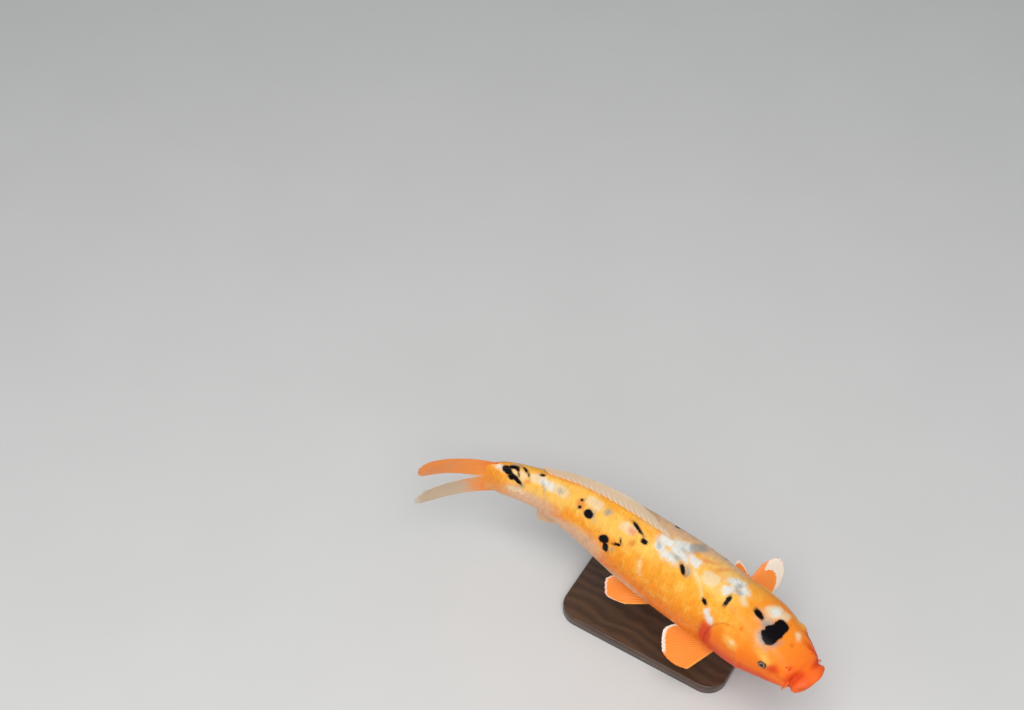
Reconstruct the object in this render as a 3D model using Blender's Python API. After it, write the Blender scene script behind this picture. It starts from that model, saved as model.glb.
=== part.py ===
"""A koi carp at life size, bent as it swims, on a plain display stand.

Metres, +Z up. The fish heads along +X and its left side faces +Y. The origin is on the floor, at the
middle of the stand's base. The body is one lofted form along a bent spine, parted by thin cuts into
head, gill covers, trunk and tail stem, and every fin is a thin blade over a fan of rays. Nothing moves,
because the model is still.

Places along the fish are shares of the spine's length, which starts just ahead of the lips. Places
round it are turns in degrees: 0 on the left, 90 on the back, 180 on the right, 270 on the belly.
"""

import math

import bmesh
import bpy
from mathutils import Vector

# Driving dimensions
TOTAL_LENGTH = 0.480        # of the spine, from just ahead of the lips to the tail's tips
SPINE_HEIGHT = 0.118        # the body's long axis above the floor
GAP = 0.0003                # between neighbouring pieces
AROUND = 36                 # points round the body
RING_STEP = 0.0100          # between the body's rings
SPINE_STEPS = 240           # straight steps that trace the spine
BALANCE_SHARE = 0.40        # this point of the spine is above the origin

# The bend in plan: share of the length, heading in degrees
HEADING = ((0.00, -25.0), (0.10, -18.0), (0.22, -13.0), (0.42, -9.0), (0.62, -3.0), (0.76, 12.0),
           (0.86, 31.0), (1.0, 60.0))
# The gentle sag of the axis: share of the length, height as a share of the length
LEVEL = ((0.0, 0.002), (0.08, -0.004), (0.20, -0.012), (0.40, -0.012), (0.65, 0.002), (1.0, 0.002))

# The body's form: share of the length, size as a share of the length
HALF_WIDTH = ((0.031, 0.0395), (0.05, 0.049), (0.095, 0.0645), (0.15, 0.0755), (0.225, 0.0765),
              (0.33, 0.078), (0.46, 0.073), (0.60, 0.054), (0.72, 0.036), (0.80, 0.026), (0.825, 0.018))
RISE = ((0.031, 0.0230), (0.05, 0.042), (0.095, 0.0645), (0.15, 0.081), (0.225, 0.093), (0.33, 0.101),
        (0.46, 0.096), (0.60, 0.077), (0.68, 0.0585), (0.74, 0.053), (0.80, 0.052), (0.825, 0.051))
DROP = ((0.031, 0.0220), (0.05, 0.033), (0.095, 0.047), (0.15, 0.063), (0.225, 0.079), (0.33, 0.091),
        (0.46, 0.093), (0.60, 0.079), (0.72, 0.057), (0.80, 0.050), (0.825, 0.049))
BACK_SQUARENESS = ((0.02, 2.5), (0.08, 2.8), (0.15, 2.8), (0.25, 2.2), (0.82, 2.0))
BELLY_SQUARENESS = ((0.02, 2.5), (0.25, 2.4), (0.50, 2.4), (0.82, 2.0))

# Where the body is parted
LIP_FRONT = 0.0045
MOUTH_SHARE = 0.0310
HEAD_END = 0.200
WAIST_SHARE = 0.420
STEM_START = 0.640
STEM_END = 0.822

# A rounded gill cover on each side of the head
GILL_SHARE = 0.178
GILL_HALF_LENGTH = 0.056    # share of the length
GILL_TURN = -10.0           # its middle, above the level of the body's widest line
GILL_HALF_TURN = 53.0
GILL_DEPTH = 0.0030
GILL_SWELL = 0.0016
GILL_POINTS = 28
GILL_RINGS = 5

# Eyes
EYE_SHARE = 0.096
EYE_TURN = 22.0             # above the level of the body's widest line
EYE_RADIUS = 0.0056
EYE_SINK = 0.0030           # the eyeball's middle lies this deep under the skin

# Lips: how far back the section lies, then its width and height, against the mouth's own
LIP_SECTION = ((1.0, 1.0, 1.0), (0.65, 1.08, 0.99), (0.3, 1.12, 0.91), (0.0, 1.01, 0.75),
               (0.04, 0.84, 0.52), (0.22, 0.66, 0.28), (1.0, 0.56, 0.14))
LIP_STEPS = 16
LIP_FULLNESS = 0.8          # below 1 gives the lips fuller sides
LIP_ROUNDING = 0.0095       # the mouth's corners lie this share behind its middle

# Barbels: share and turn above the widest line at the root, how far they reach down and back, thickness
BARBELS = {"long": (0.044, -18.0, 52.0, 0.014, 0.0010), "short": (0.038, 14.0, 26.0, 0.004, 0.0008)}
BARBEL_TIP = 0.0004
BARBEL_RISE = (-0.0006, 0.0087, -0.0057)    # over the skin: at the root, along it, along it squared
BARBEL_SIDES = 6
BARBEL_STEPS = 7

# Fins: where they grow, then the length of their rays from first to last, as shares of the length
FIN_EDGE = 0.0007           # thickness at the outer edge
FIN_ROOT = 0.0018           # thickness at the body
ROOT_DEPTH = 0.0020         # the rays start this deep, and the body's own form trims them
DORSAL = {"start": 0.385, "end": 0.690, "sweep": 60.0, "lean": 74.0}
DORSAL_RAYS = ((0.0, 0.028), (0.10, 0.053), (0.22, 0.060), (0.5, 0.052), (0.8, 0.043), (1.0, 0.036))
ROOT_LEAN = 0.75            # of the lean is already there at the root
ANAL = {"start": 0.635, "end": 0.692, "sweep": 56.0, "lean": -14.0}
ANAL_RAYS = ((0.0, 0.045), (0.25, 0.074), (0.7, 0.056), (1.0, 0.036))
TAIL_ROOT = 0.804
TAIL_FORK_ANGLE = 2.0
TAIL_SPREAD = 17.0
TAIL_TWIST = 14.0           # at the tips, the upper lobe towards the right
TAIL_RAYS = ((0.0, 0.062), (0.2, 0.125), (0.45, 0.184), (0.72, 0.200), (0.88, 0.198), (1.0, 0.178))
PECTORAL = {"right": {"share": 0.226, "turn": -54.0, "root": 0.026},
            "left": {"share": 0.231, "turn": -52.0, "root": 0.026}}
PECTORAL_RAYS = {"right": ((0.0, 0.076), (0.2, 0.095), (0.45, 0.108), (0.75, 0.105), (1.0, 0.074)),
                 "left": ((0.0, 0.098), (0.12, 0.132), (0.28, 0.152), (0.45, 0.130), (0.60, 0.088),
                          (0.74, 0.108), (0.88, 0.122), (1.0, 0.085))}
PELVIC = {"share": 0.386, "turn": -66.0, "root": 0.024}
PELVIC_RAYS = ((0.0, 0.078), (0.25, 0.118), (0.55, 0.120), (1.0, 0.070))
ROOT_FALL = 4.0             # a paired fin's root falls this many degrees from front to rear
# How a paired fin is held, in degrees: how far it hangs, how far its first and last rays point back
# from straight out, how far its plane tips rear edge down, and its curl
PECTORAL_POSE = {"right": (36.0, 20.0, 86.0, 8.0, 10.0), "left": (-15.0, -8.0, 41.0, 6.0, 6.0)}
PELVIC_POSE = {"right": (29.0, 54.0, 92.0, 0.0, 6.0), "left": (38.0, 48.0, 78.0, 0.0, 6.0)}

# Stand
BASE_LENGTH = 0.190
BASE_WIDTH = 0.096
BASE_HEIGHT = 0.012
BASE_CORNER = 0.022
BASE_SOFTENING = 0.0020     # of the upper edge
ROD_RADIUS = 0.003
ROD_SIDES = 16
ROD_SHARES = {"front": 0.31, "rear": 0.50}

# Finish of each kind: colour, roughness, metallic
FINISHES = {
    "orange_skin": ((0.82, 0.30, 0.05), 0.35, 0.0),
    "red_lip": ((0.78, 0.15, 0.03), 0.35, 0.0),
    "fin": ((0.84, 0.40, 0.16), 0.40, 0.0),
    "eye": ((0.03, 0.02, 0.02), 0.08, 0.0),
    "dark_wood": ((0.10, 0.055, 0.032), 0.45, 0.0),
    "steel": ((0.55, 0.55, 0.56), 0.30, 1.0),
}
SIDES = {"left": 1, "right": -1}
UP = Vector((0.0, 0.0, 1.0))


def clear_scene():
    """Remove every object that the scene starts with."""
    for item in list(bpy.data.objects):
        bpy.data.objects.remove(item)


def through(knots, at):
    """Height at one place of a smooth curve through a few knots, which doesn't overshoot them."""
    places = [knot[0] for knot in knots]
    values = [knot[1] for knot in knots]
    at = min(max(at, places[0]), places[-1])
    last = len(knots) - 2
    here = min(last, max(0, sum(1 for place in places if place <= at) - 1))
    slopes = [(values[k + 1] - values[k]) / (places[k + 1] - places[k]) for k in range(last + 1)]

    def tangent(k):
        if k == 0:
            return slopes[0]
        if k == last + 1:
            return slopes[last]
        before, after = slopes[k - 1], slopes[k]
        if before * after <= 0.0:
            return 0.0
        return 2.0 * before * after / (before + after)

    span = places[here + 1] - places[here]
    t = (at - places[here]) / span
    rise = values[here + 1] - values[here]
    start = tangent(here) * span
    end = tangent(here + 1) * span
    bend = (3 * rise - 2 * start - end) * t ** 2 + (start + end - 2 * rise) * t ** 3
    return values[here] + start * t + bend


def trace_spine():
    """Points along the spine in plan, from the lips back to the tail's tips."""
    step = TOTAL_LENGTH / SPINE_STEPS
    points = [Vector((0.0, 0.0, 0.0))]
    for i in range(SPINE_STEPS):
        heading = math.radians(through(HEADING, (i + 0.5) / SPINE_STEPS))
        points.append(points[-1] - step * Vector((math.cos(heading), math.sin(heading), 0.0)))
    balance = points[round(BALANCE_SHARE * SPINE_STEPS)].copy()
    return [point - balance for point in points]


SPINE = trace_spine()


def spine_frame(share):
    """A point of the axis, and the directions back and left there."""
    steps = min(max(share, 0.0), 1.0) * SPINE_STEPS
    first = min(int(steps), SPINE_STEPS - 1)
    point = SPINE[first].lerp(SPINE[first + 1], steps - first)
    heading = math.radians(through(HEADING, share))
    back = Vector((-math.cos(heading), -math.sin(heading), 0.0))
    left = Vector((-math.sin(heading), math.cos(heading), 0.0))
    level = SPINE_HEIGHT + through(LEVEL, share) * TOTAL_LENGTH
    return point + UP * level, back, left


def beside_spine(share, across, above):
    """A point so many metres to the left of the axis and above it."""
    point, _, left = spine_frame(share)
    return point + left * across + UP * above


def body_point(share, turn, grow=0.0):
    """A point of the body's surface, moved out by grow."""
    cosine = math.cos(math.radians(turn))
    sine = math.sin(math.radians(turn))
    upper = sine >= 0.0
    power = 2.0 / through(BACK_SQUARENESS if upper else BELLY_SQUARENESS, share)
    half_width = through(HALF_WIDTH, share) * TOTAL_LENGTH + grow
    height = through(RISE if upper else DROP, share) * TOTAL_LENGTH + grow
    across = math.copysign(abs(cosine) ** power, cosine) * half_width
    above = math.copysign(abs(sine) ** power, sine) * height
    return beside_spine(share, across, above)


def outward(share, turn):
    """Unit direction straight out of the body's surface."""
    along = body_point(share + 0.004, turn) - body_point(share - 0.004, turn)
    round_it = body_point(share, turn + 3.0) - body_point(share, turn - 3.0)
    return along.cross(round_it).normalized()


def side_turn(turn, side):
    """The same height above the widest line, as a turn on the left or on the right."""
    return turn if side > 0 else 180.0 - turn


def finish(kind):
    """The Principled material of one finish, made once."""
    made = bpy.data.materials.get(kind)
    if made:
        return made
    colour, roughness, metallic = FINISHES[kind]
    made = bpy.data.materials.new(kind)
    made.use_nodes = True
    shader = made.node_tree.nodes["Principled BSDF"]
    shader.inputs["Base Color"].default_value = (*colour, 1.0)
    shader.inputs["Roughness"].default_value = roughness
    shader.inputs["Metallic"].default_value = metallic
    return made


def add_object(name, shape, kind):
    """Turn a shape into a named object with a finish."""
    bmesh.ops.recalc_face_normals(shape, faces=shape.faces)
    mesh = bpy.data.meshes.new(name)
    shape.to_mesh(mesh)
    shape.free()
    mesh.shade_smooth()
    mesh.set_sharp_from_angle(angle=math.radians(40.0))
    mesh.materials.append(finish(kind))
    made = bpy.data.objects.new(name, mesh)
    bpy.context.scene.collection.objects.link(made)
    return made


def add_cutter(name, shape):
    """A guide that only cuts other pieces."""
    made = add_object(name, shape, "orange_skin")
    made.hide_render = True
    made.display_type = "WIRE"
    return made


def cut(piece, cutter):
    """Take the cutter's space out of a piece."""
    boolean = piece.modifiers.new("cut_" + cutter.name, "BOOLEAN")
    boolean.operation = "DIFFERENCE"
    boolean.solver = "EXACT"
    boolean.object = cutter


def add_rings(shape, rings):
    """Join equal rings of points with quads, and return their vertices."""
    rows = [[shape.verts.new(point) for point in ring] for ring in rings]
    count = len(rows[0])
    for near, far in zip(rows, rows[1:]):
        for i in range(count):
            j = (i + 1) % count
            shape.faces.new((near[i], near[j], far[j], far[i]))
    return rows


def loft(rings):
    """A closed form over rings of points, with a flat face at both ends."""
    shape = bmesh.new()
    rows = add_rings(shape, rings)
    shape.faces.new(rows[0])
    shape.faces.new(rows[-1])
    return shape


def body_length(start, end, grow=0.0):
    """A closed length of the body between two shares."""
    count = round((end - start) * TOTAL_LENGTH / RING_STEP)
    rings = []
    for i in range(count + 1):
        share = start + (end - start) * i / count
        rings.append([body_point(share, 360.0 * k / AROUND, grow) for k in range(AROUND)])
    return loft(rings)


def gill_plate(side, inner, outer, margin):
    """A round plate that follows the side of the head between two depths, margin larger all round."""
    half_length = GILL_HALF_LENGTH + margin / TOTAL_LENGTH
    half_girth = through(HALF_WIDTH, GILL_SHARE) * TOTAL_LENGTH
    half_turn = GILL_HALF_TURN + math.degrees(margin / half_girth)

    def spot(k, size, depth):
        angle = 2.0 * math.pi * k / GILL_POINTS
        share = GILL_SHARE + half_length * size * math.cos(angle)
        turn = side_turn(GILL_TURN + half_turn * size * math.sin(angle), side)
        return body_point(share, turn) + outward(share, turn) * depth

    sizes = [i / GILL_RINGS for i in range(1, GILL_RINGS + 1)]
    rings = []
    for size in sizes:
        depth = outer + GILL_SWELL * (1.0 - size ** 2)
        rings.append([spot(k, size, depth) for k in range(GILL_POINTS)])
    rings += [[spot(k, size, inner) for k in range(GILL_POINTS)] for size in reversed(sizes)]
    shape = bmesh.new()
    rows = add_rings(shape, rings)
    for row, depth in ((rows[0], outer + GILL_SWELL), (rows[-1], inner)):
        hub = shape.verts.new(spot(0, 0.0, depth))
        for k in range(GILL_POINTS):
            shape.faces.new((hub, row[k], row[(k + 1) % GILL_POINTS]))
    return shape


def ball(centre, radius):
    """An eyeball, or the socket for one."""
    shape = bmesh.new()
    bmesh.ops.create_uvsphere(shape, u_segments=16, v_segments=8, radius=radius)
    bmesh.ops.translate(shape, verts=shape.verts, vec=centre)
    return shape


def eye_centre(side):
    """Middle of the eyeball on one side."""
    turn = side_turn(EYE_TURN, side)
    return body_point(EYE_SHARE, turn) - outward(EYE_SHARE, turn) * EYE_SINK


def lip(upward):
    """The upper or the lower half of the mouth's thick ring."""
    half_width = through(HALF_WIDTH, MOUTH_SHARE) * TOTAL_LENGTH
    height = through(RISE if upward > 0 else DROP, MOUTH_SHARE) * TOTAL_LENGTH
    rear = MOUTH_SHARE - GAP / TOTAL_LENGTH
    rings = []
    for i in range(LIP_STEPS + 1):
        angle = math.pi * i / LIP_STEPS
        ring = []
        for back, wide, high in LIP_SECTION:
            above = math.sin(angle) ** LIP_FULLNESS * height * high + GAP / 2
            share = LIP_FRONT + (rear - LIP_FRONT) * back
            share += LIP_ROUNDING * max(0.0, 1.0 - back) * math.cos(angle) ** 2
            ring.append(beside_spine(share, math.cos(angle) * half_width * wide, upward * above))
        rings.append(ring)
    return loft(rings)


def barbel(kind, side):
    """A feeler that leaves the lip and droops along the chin, thinner towards its tip."""
    root_share, root_turn, droop, trail, thickness = BARBELS[kind]
    _, back, _ = spine_frame(root_share)
    start, first, second = BARBEL_RISE
    points = []
    for i in range(BARBEL_STEPS + 1):
        t = i / BARBEL_STEPS
        share = root_share + trail * t
        turn = side_turn(root_turn - droop * t, side)
        rise = start + first * t + second * t ** 2
        points.append(body_point(share, turn) + outward(share, turn) * rise)
    rings = []
    for i, point in enumerate(points):
        ahead = points[min(i + 1, BARBEL_STEPS)] - points[max(i - 1, 0)]
        across = ahead.cross(back).normalized()
        over = ahead.cross(across).normalized()
        radius = thickness + (BARBEL_TIP - thickness) * i / BARBEL_STEPS
        angles = [2.0 * math.pi * k / BARBEL_SIDES for k in range(BARBEL_SIDES)]
        rings.append([point + (across * math.cos(a) + over * math.sin(a)) * radius for a in angles])
    return loft(rings)


def blade(rays):
    """A thin closed fin over rows of points, one row for each ray from root to edge."""
    count = len(rays)
    steps = len(rays[0])
    shape = bmesh.new()
    faces = []
    for sign in (0.5, -0.5):
        rows = []
        for i in range(count):
            row = []
            for j in range(steps):
                along = rays[i][min(j + 1, steps - 1)] - rays[i][max(j - 1, 0)]
                over = rays[min(i + 1, count - 1)][j] - rays[max(i - 1, 0)][j]
                thickness = FIN_ROOT + (FIN_EDGE - FIN_ROOT) * j / (steps - 1)
                offset = along.cross(over).normalized() * thickness * sign
                row.append(shape.verts.new(rays[i][j] + offset))
            rows.append(row)
        faces.append(rows)
    near, far = faces
    for i in range(count - 1):
        for j in range(steps - 1):
            shape.faces.new((near[i][j], near[i + 1][j], near[i + 1][j + 1], near[i][j + 1]))
            shape.faces.new((far[i][j], far[i][j + 1], far[i + 1][j + 1], far[i + 1][j]))
        for j in (0, steps - 1):
            shape.faces.new((near[i][j], near[i + 1][j], far[i + 1][j], far[i][j]))
    for j in range(steps - 1):
        for i in (0, count - 1):
            shape.faces.new((near[i][j], near[i][j + 1], far[i][j + 1], far[i][j]))
    return shape


def middle_fin(place, ray_lengths, side, count, steps=6):
    """Rays of the fin along the back or under the stem, leaning to one side and swept back."""
    rise = RISE if side > 0 else DROP
    lean = math.radians(place["lean"])
    sweep = math.radians(place["sweep"])
    rays = []
    for i in range(count):
        u = i / (count - 1)
        share = place["start"] + (place["end"] - place["start"]) * u
        length = through(ray_lengths, u) * TOTAL_LENGTH
        root = through(rise, share) * TOTAL_LENGTH - ROOT_DEPTH
        ray = []
        for j in range(steps):
            reach = length * j / (steps - 1)
            out = reach * math.cos(sweep)
            bowed = lean * (ROOT_LEAN + (1.0 - ROOT_LEAN) * j / (steps - 1))
            above = side * (root + out * math.cos(bowed))
            rearward = reach * math.sin(sweep) / TOTAL_LENGTH
            ray.append(beside_spine(share + rearward, out * math.sin(bowed), above))
        rays.append(ray)
    return rays


def tail_lobe(side, count=10, steps=8):
    """Rays of the upper or the lower lobe of the tail fin, from the fork to the outer edge."""
    stem = through(RISE if side > 0 else DROP, TAIL_ROOT) * TOTAL_LENGTH
    rays = []
    for i in range(count):
        u = i / (count - 1)
        angle = math.radians(TAIL_FORK_ANGLE + (TAIL_SPREAD - TAIL_FORK_ANGLE) * u)
        length = through(TAIL_RAYS, u) * TOTAL_LENGTH
        start = GAP + (stem - FIN_ROOT - GAP) * u
        ray = []
        for j in range(steps):
            reach = length * j / (steps - 1)
            share = TAIL_ROOT + reach * math.cos(angle) / TOTAL_LENGTH
            out = side * (start + reach * math.sin(angle))
            twist = math.radians(TAIL_TWIST) * (share - TAIL_ROOT) / (1.0 - TAIL_ROOT)
            ray.append(beside_spine(share, -out * math.sin(twist), out * math.cos(twist)))
        rays.append(ray)
    return rays


def paired_fin(side, place, ray_lengths, pose, count=12, steps=6):
    """Rays of a fin on one side of the body, held in a pose."""
    hang, first, last, tip, curl = (math.radians(value) for value in pose)
    _, back, left = spine_frame(place["share"])
    out = left * side * math.cos(hang) - UP * math.sin(hang)
    rearward = back * math.cos(tip) - UP * math.sin(tip)
    normal = out.cross(rearward).normalized() * side
    rays = []
    for i in range(count):
        u = i / (count - 1)
        share = place["share"] + place["root"] * (u - 0.5)
        turn = side_turn(place["turn"] - ROOT_FALL * u, side)
        root = body_point(share, turn) - outward(share, turn) * ROOT_DEPTH
        angle = first + (last - first) * u
        direction = out * math.cos(angle) + rearward * math.sin(angle)
        length = through(ray_lengths, u) * TOTAL_LENGTH
        ray = []
        for j in range(steps):
            v = j / (steps - 1)
            ray.append(root + (direction * v + normal * math.sin(curl) * v ** 2 / 2) * length)
        rays.append(ray)
    return rays


def stand_base():
    """The stand's flat base, with round corners and a softened upper edge."""
    corners = []
    for quarter in range(4):
        x = (BASE_LENGTH / 2 - BASE_CORNER) * (1 if quarter in (0, 3) else -1)
        y = (BASE_WIDTH / 2 - BASE_CORNER) * (1 if quarter in (0, 1) else -1)
        for k in range(7):
            angle = math.radians(90.0 * quarter + 15.0 * k)
            corners.append((Vector((x, y, 0.0)), Vector((math.cos(angle), math.sin(angle), 0.0))))
    rings = []
    half_softened = 0.3 * BASE_SOFTENING
    levels = ((0.0, 0.0), (BASE_HEIGHT - BASE_SOFTENING, 0.0),
              (BASE_HEIGHT - half_softened, half_softened), (BASE_HEIGHT, BASE_SOFTENING))
    for height, inset in levels:
        rings.append([middle + ray * (BASE_CORNER - inset) + UP * height for middle, ray in corners])
    return loft(rings)


def stand_rod(share):
    """A round rod from the base up into the belly, where the body's form trims it."""
    foot, _, _ = spine_frame(share)
    rings = []
    for height in (BASE_HEIGHT + GAP, foot.z):
        ring = []
        for k in range(ROD_SIDES):
            angle = 2.0 * math.pi * k / ROD_SIDES
            x = foot.x + ROD_RADIUS * math.cos(angle)
            y = foot.y + ROD_RADIUS * math.sin(angle)
            ring.append(Vector((x, y, height)))
        rings.append(ring)
    return loft(rings)


def build_body():
    """The head, trunk and stem as lengths of one form, parted by thin cuts."""
    half_gap = GAP / 2 / TOTAL_LENGTH
    borders = {"head": (MOUTH_SHARE, HEAD_END), "trunk_front": (HEAD_END, WAIST_SHARE),
               "trunk_rear": (WAIST_SHARE, STEM_START), "tail_stem": (STEM_START, STEM_END)}
    body = {}
    for name, (start, end) in borders.items():
        start += 0.0 if name == "head" else half_gap
        end -= 0.0 if name == "tail_stem" else half_gap
        body[name] = add_object(name, body_length(start, end), "orange_skin")
    return body


def build_sides(body):
    """Gill covers in their slots and eyes in their sockets."""
    for word, side in SIDES.items():
        slot = add_cutter("gill_slot_" + word, gill_plate(side, -GILL_DEPTH - GAP, 2 * GILL_SWELL, GAP))
        cut(body["head"], slot)
        cut(body["trunk_front"], slot)
        add_object("gill_cover_" + word, gill_plate(side, -GILL_DEPTH, 0.0, 0.0), "orange_skin")
        socket = add_cutter("eye_socket_" + word, ball(eye_centre(side), EYE_RADIUS + GAP))
        cut(body["head"], socket)
        add_object("eye_" + word, ball(eye_centre(side), EYE_RADIUS), "eye")


def build_mouth(body_form):
    """Lips and barbels."""
    add_object("lip_upper", lip(1), "red_lip")
    add_object("lip_lower", lip(-1), "red_lip")
    for word, side in SIDES.items():
        for kind in BARBELS:
            cut(add_object("barbel_" + kind + "_" + word, barbel(kind, side), "red_lip"), body_form)


def build_fins(body_form):
    """All the fins, trimmed where they meet the body."""
    fins = {"dorsal_fin": middle_fin(DORSAL, DORSAL_RAYS, 1, count=16),
            "anal_fin": middle_fin(ANAL, ANAL_RAYS, -1, count=8),
            "tail_fin_upper": tail_lobe(1),
            "tail_fin_lower": tail_lobe(-1)}
    for word, side in SIDES.items():
        fins["pectoral_fin_" + word] = paired_fin(side, PECTORAL[word], PECTORAL_RAYS[word],
                                                  PECTORAL_POSE[word])
        fins["pelvic_fin_" + word] = paired_fin(side, PELVIC, PELVIC_RAYS, PELVIC_POSE[word])
    for name, rays in fins.items():
        cut(add_object(name, blade(rays), "fin"), body_form)


def build_stand(body_form):
    """A flat base and two rods."""
    add_object("stand_base", stand_base(), "dark_wood")
    for word, share in ROD_SHARES.items():
        cut(add_object("stand_rod_" + word, stand_rod(share), "steel"), body_form)


clear_scene()
body_parts = build_body()
grown_body = add_cutter("grown_body", body_length(MOUTH_SHARE, STEM_END + GAP / TOTAL_LENGTH, GAP))
build_sides(body_parts)
build_mouth(grown_body)
build_fins(grown_body)
build_stand(grown_body)
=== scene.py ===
# %% [markdown]
# # A koi carp on a display stand
# A koi is a carp bred for its colours. This one is a still model at life size, bent as it swims and held
# on two rods. Its solids already exist as a imported part: plain closed pieces with the right size. Here
# each of them gets its real surface: one skin over all the flesh, scales, rayed fins, glassy eyes, wood
# and steel. The solids come in first, and their box is kept.

# %% Bring in the solids and keep their box
import math

import bpy
import numpy as np
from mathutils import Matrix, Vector


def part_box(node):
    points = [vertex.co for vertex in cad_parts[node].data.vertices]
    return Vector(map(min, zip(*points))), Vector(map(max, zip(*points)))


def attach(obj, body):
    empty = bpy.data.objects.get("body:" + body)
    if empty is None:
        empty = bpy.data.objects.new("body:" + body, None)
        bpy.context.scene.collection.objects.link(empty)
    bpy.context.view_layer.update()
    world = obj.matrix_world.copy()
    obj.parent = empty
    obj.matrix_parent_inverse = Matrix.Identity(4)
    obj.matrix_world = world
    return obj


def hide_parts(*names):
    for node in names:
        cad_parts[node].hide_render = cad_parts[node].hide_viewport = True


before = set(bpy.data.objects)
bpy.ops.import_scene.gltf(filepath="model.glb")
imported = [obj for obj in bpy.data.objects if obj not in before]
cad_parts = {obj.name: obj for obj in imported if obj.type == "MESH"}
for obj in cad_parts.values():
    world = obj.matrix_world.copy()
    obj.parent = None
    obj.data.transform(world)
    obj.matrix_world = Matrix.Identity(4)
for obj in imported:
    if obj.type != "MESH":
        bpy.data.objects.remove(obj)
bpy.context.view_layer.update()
MM = 0.001
UP = np.array([0.0, 0.0, 1.0])

# %% [markdown]
# ## The fish's form
# Every piece of skin, each scale and each fin has to sit on the same bent body, so the body is described
# once, by the few values that the solids were made from. A place along it is a share of the axis, which
# starts just ahead of the lips, and a place round it is a turn: 0 on the left, 90 on the back, 180 on
# the right and 270 under the belly. Whole arrays of places are worked out at once with NumPy, which is
# far faster than a loop when the skin has tens of thousands of points.

# %% The values of the body's form
TOTAL_LENGTH = 0.480
LENGTH_MM = TOTAL_LENGTH / MM
SPINE_HEIGHT = 0.118
SPINE_STEPS = 240
BALANCE_SHARE = 0.40
HEADING = ((0.00, -25.0), (0.10, -18.0), (0.22, -13.0), (0.42, -9.0), (0.62, -3.0), (0.76, 12.0),
           (0.86, 31.0), (1.0, 60.0))
LEVEL = ((0.0, 0.002), (0.08, -0.004), (0.20, -0.012), (0.40, -0.012), (0.65, 0.002), (1.0, 0.002))
HALF_WIDTH = ((0.031, 0.0395), (0.05, 0.049), (0.095, 0.0645), (0.15, 0.0755), (0.225, 0.0765),
              (0.33, 0.078), (0.46, 0.073), (0.60, 0.054), (0.72, 0.036), (0.80, 0.026),
              (0.818, 0.0165), (0.832, 0.0075), (0.846, 0.0006))
RISE = ((0.031, 0.0230), (0.05, 0.042), (0.095, 0.0645), (0.15, 0.081), (0.225, 0.093), (0.33, 0.101),
        (0.46, 0.096), (0.60, 0.077), (0.68, 0.0585), (0.74, 0.053), (0.80, 0.052), (0.825, 0.051))
DROP = ((0.031, 0.0220), (0.05, 0.033), (0.095, 0.047), (0.15, 0.063), (0.225, 0.079), (0.33, 0.091),
        (0.46, 0.093), (0.60, 0.079), (0.72, 0.057), (0.80, 0.050), (0.825, 0.049))
BACK_SQUARENESS = ((0.02, 2.5), (0.08, 2.8), (0.15, 2.8), (0.25, 2.2), (0.82, 2.0))
BELLY_SQUARENESS = ((0.02, 2.5), (0.25, 2.4), (0.50, 2.4), (0.82, 2.0))
LIP_FRONT, LIP_ROUNDING = 0.0045, 0.0095
MOUTH_SHARE = 0.0310
TAIL_SHARE = 0.846
SKIN_DEPTH = 0.5 * MM       # the skin lies this far inside the solids, and the scales fill the rest


# %% Smooth curves through a few knots
def curve(knots, at):
    """Heights at many places of a smooth curve through a few knots, which doesn't overshoot them."""
    places, values = (np.array(column, float) for column in zip(*knots))
    at = np.clip(np.asarray(at, float), places[0], places[-1])
    spans = np.diff(places)
    rises = np.diff(values)
    slopes = rises / spans
    before, after = slopes[:-1], slopes[1:]
    agree = before * after > 0.0
    inner = np.where(agree, 2.0 * before * after / np.where(agree, before + after, 1.0), 0.0)
    tangents = np.concatenate([slopes[:1], inner, slopes[-1:]])
    here = np.clip(np.searchsorted(places, at, side="right") - 1, 0, len(slopes) - 1)
    t = (at - places[here]) / spans[here]
    start = tangents[here] * spans[here]
    end = tangents[here + 1] * spans[here]
    bend = (3 * rises[here] - 2 * start - end) * t ** 2 + (start + end - 2 * rises[here]) * t ** 3
    return values[here] + start * t + bend


def ease(value, low, high):
    """0 below low, 1 above high, and a soft step between them."""
    t = np.clip((value - low) / (high - low), 0.0, 1.0)
    return t * t * (3.0 - 2.0 * t)


def hump(value, middle, width):
    """A smooth hump of height 1 at the middle."""
    return np.exp(-((value - middle) / width) ** 2)


# %% The bent axis
step_headings = np.radians(curve(HEADING, (np.arange(SPINE_STEPS) + 0.5) / SPINE_STEPS))
axis_steps = np.stack([np.cos(step_headings), np.sin(step_headings)], 1) * TOTAL_LENGTH / SPINE_STEPS
AXIS = np.vstack([[0.0, 0.0], np.cumsum(-axis_steps, 0)])
AXIS -= AXIS[round(BALANCE_SHARE * SPINE_STEPS)]
AXIS_SHARES = np.linspace(0.0, 1.0, SPINE_STEPS + 1)


def axis(share):
    """Points of the body's axis, and the directions back and left there."""
    share = np.asarray(share, float)
    x = np.interp(share, AXIS_SHARES, AXIS[:, 0])
    y = np.interp(share, AXIS_SHARES, AXIS[:, 1])
    z = SPINE_HEIGHT + curve(LEVEL, share) * TOTAL_LENGTH
    heading = np.radians(curve(HEADING, share))
    flat = np.zeros_like(heading)
    back = np.stack([-np.cos(heading), -np.sin(heading), flat], -1)
    left = np.stack([-np.sin(heading), np.cos(heading), flat], -1)
    return np.stack([x, y, z], -1), back, left


def beside_axis(share, across, above):
    """Points so many metres to the left of the axis and above it."""
    point, _, left = axis(share)
    return point + left * np.asarray(across)[..., None] + UP * np.asarray(above)[..., None]


print("axis from", AXIS[0].round(3), "to", AXIS[-1].round(3))


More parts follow.
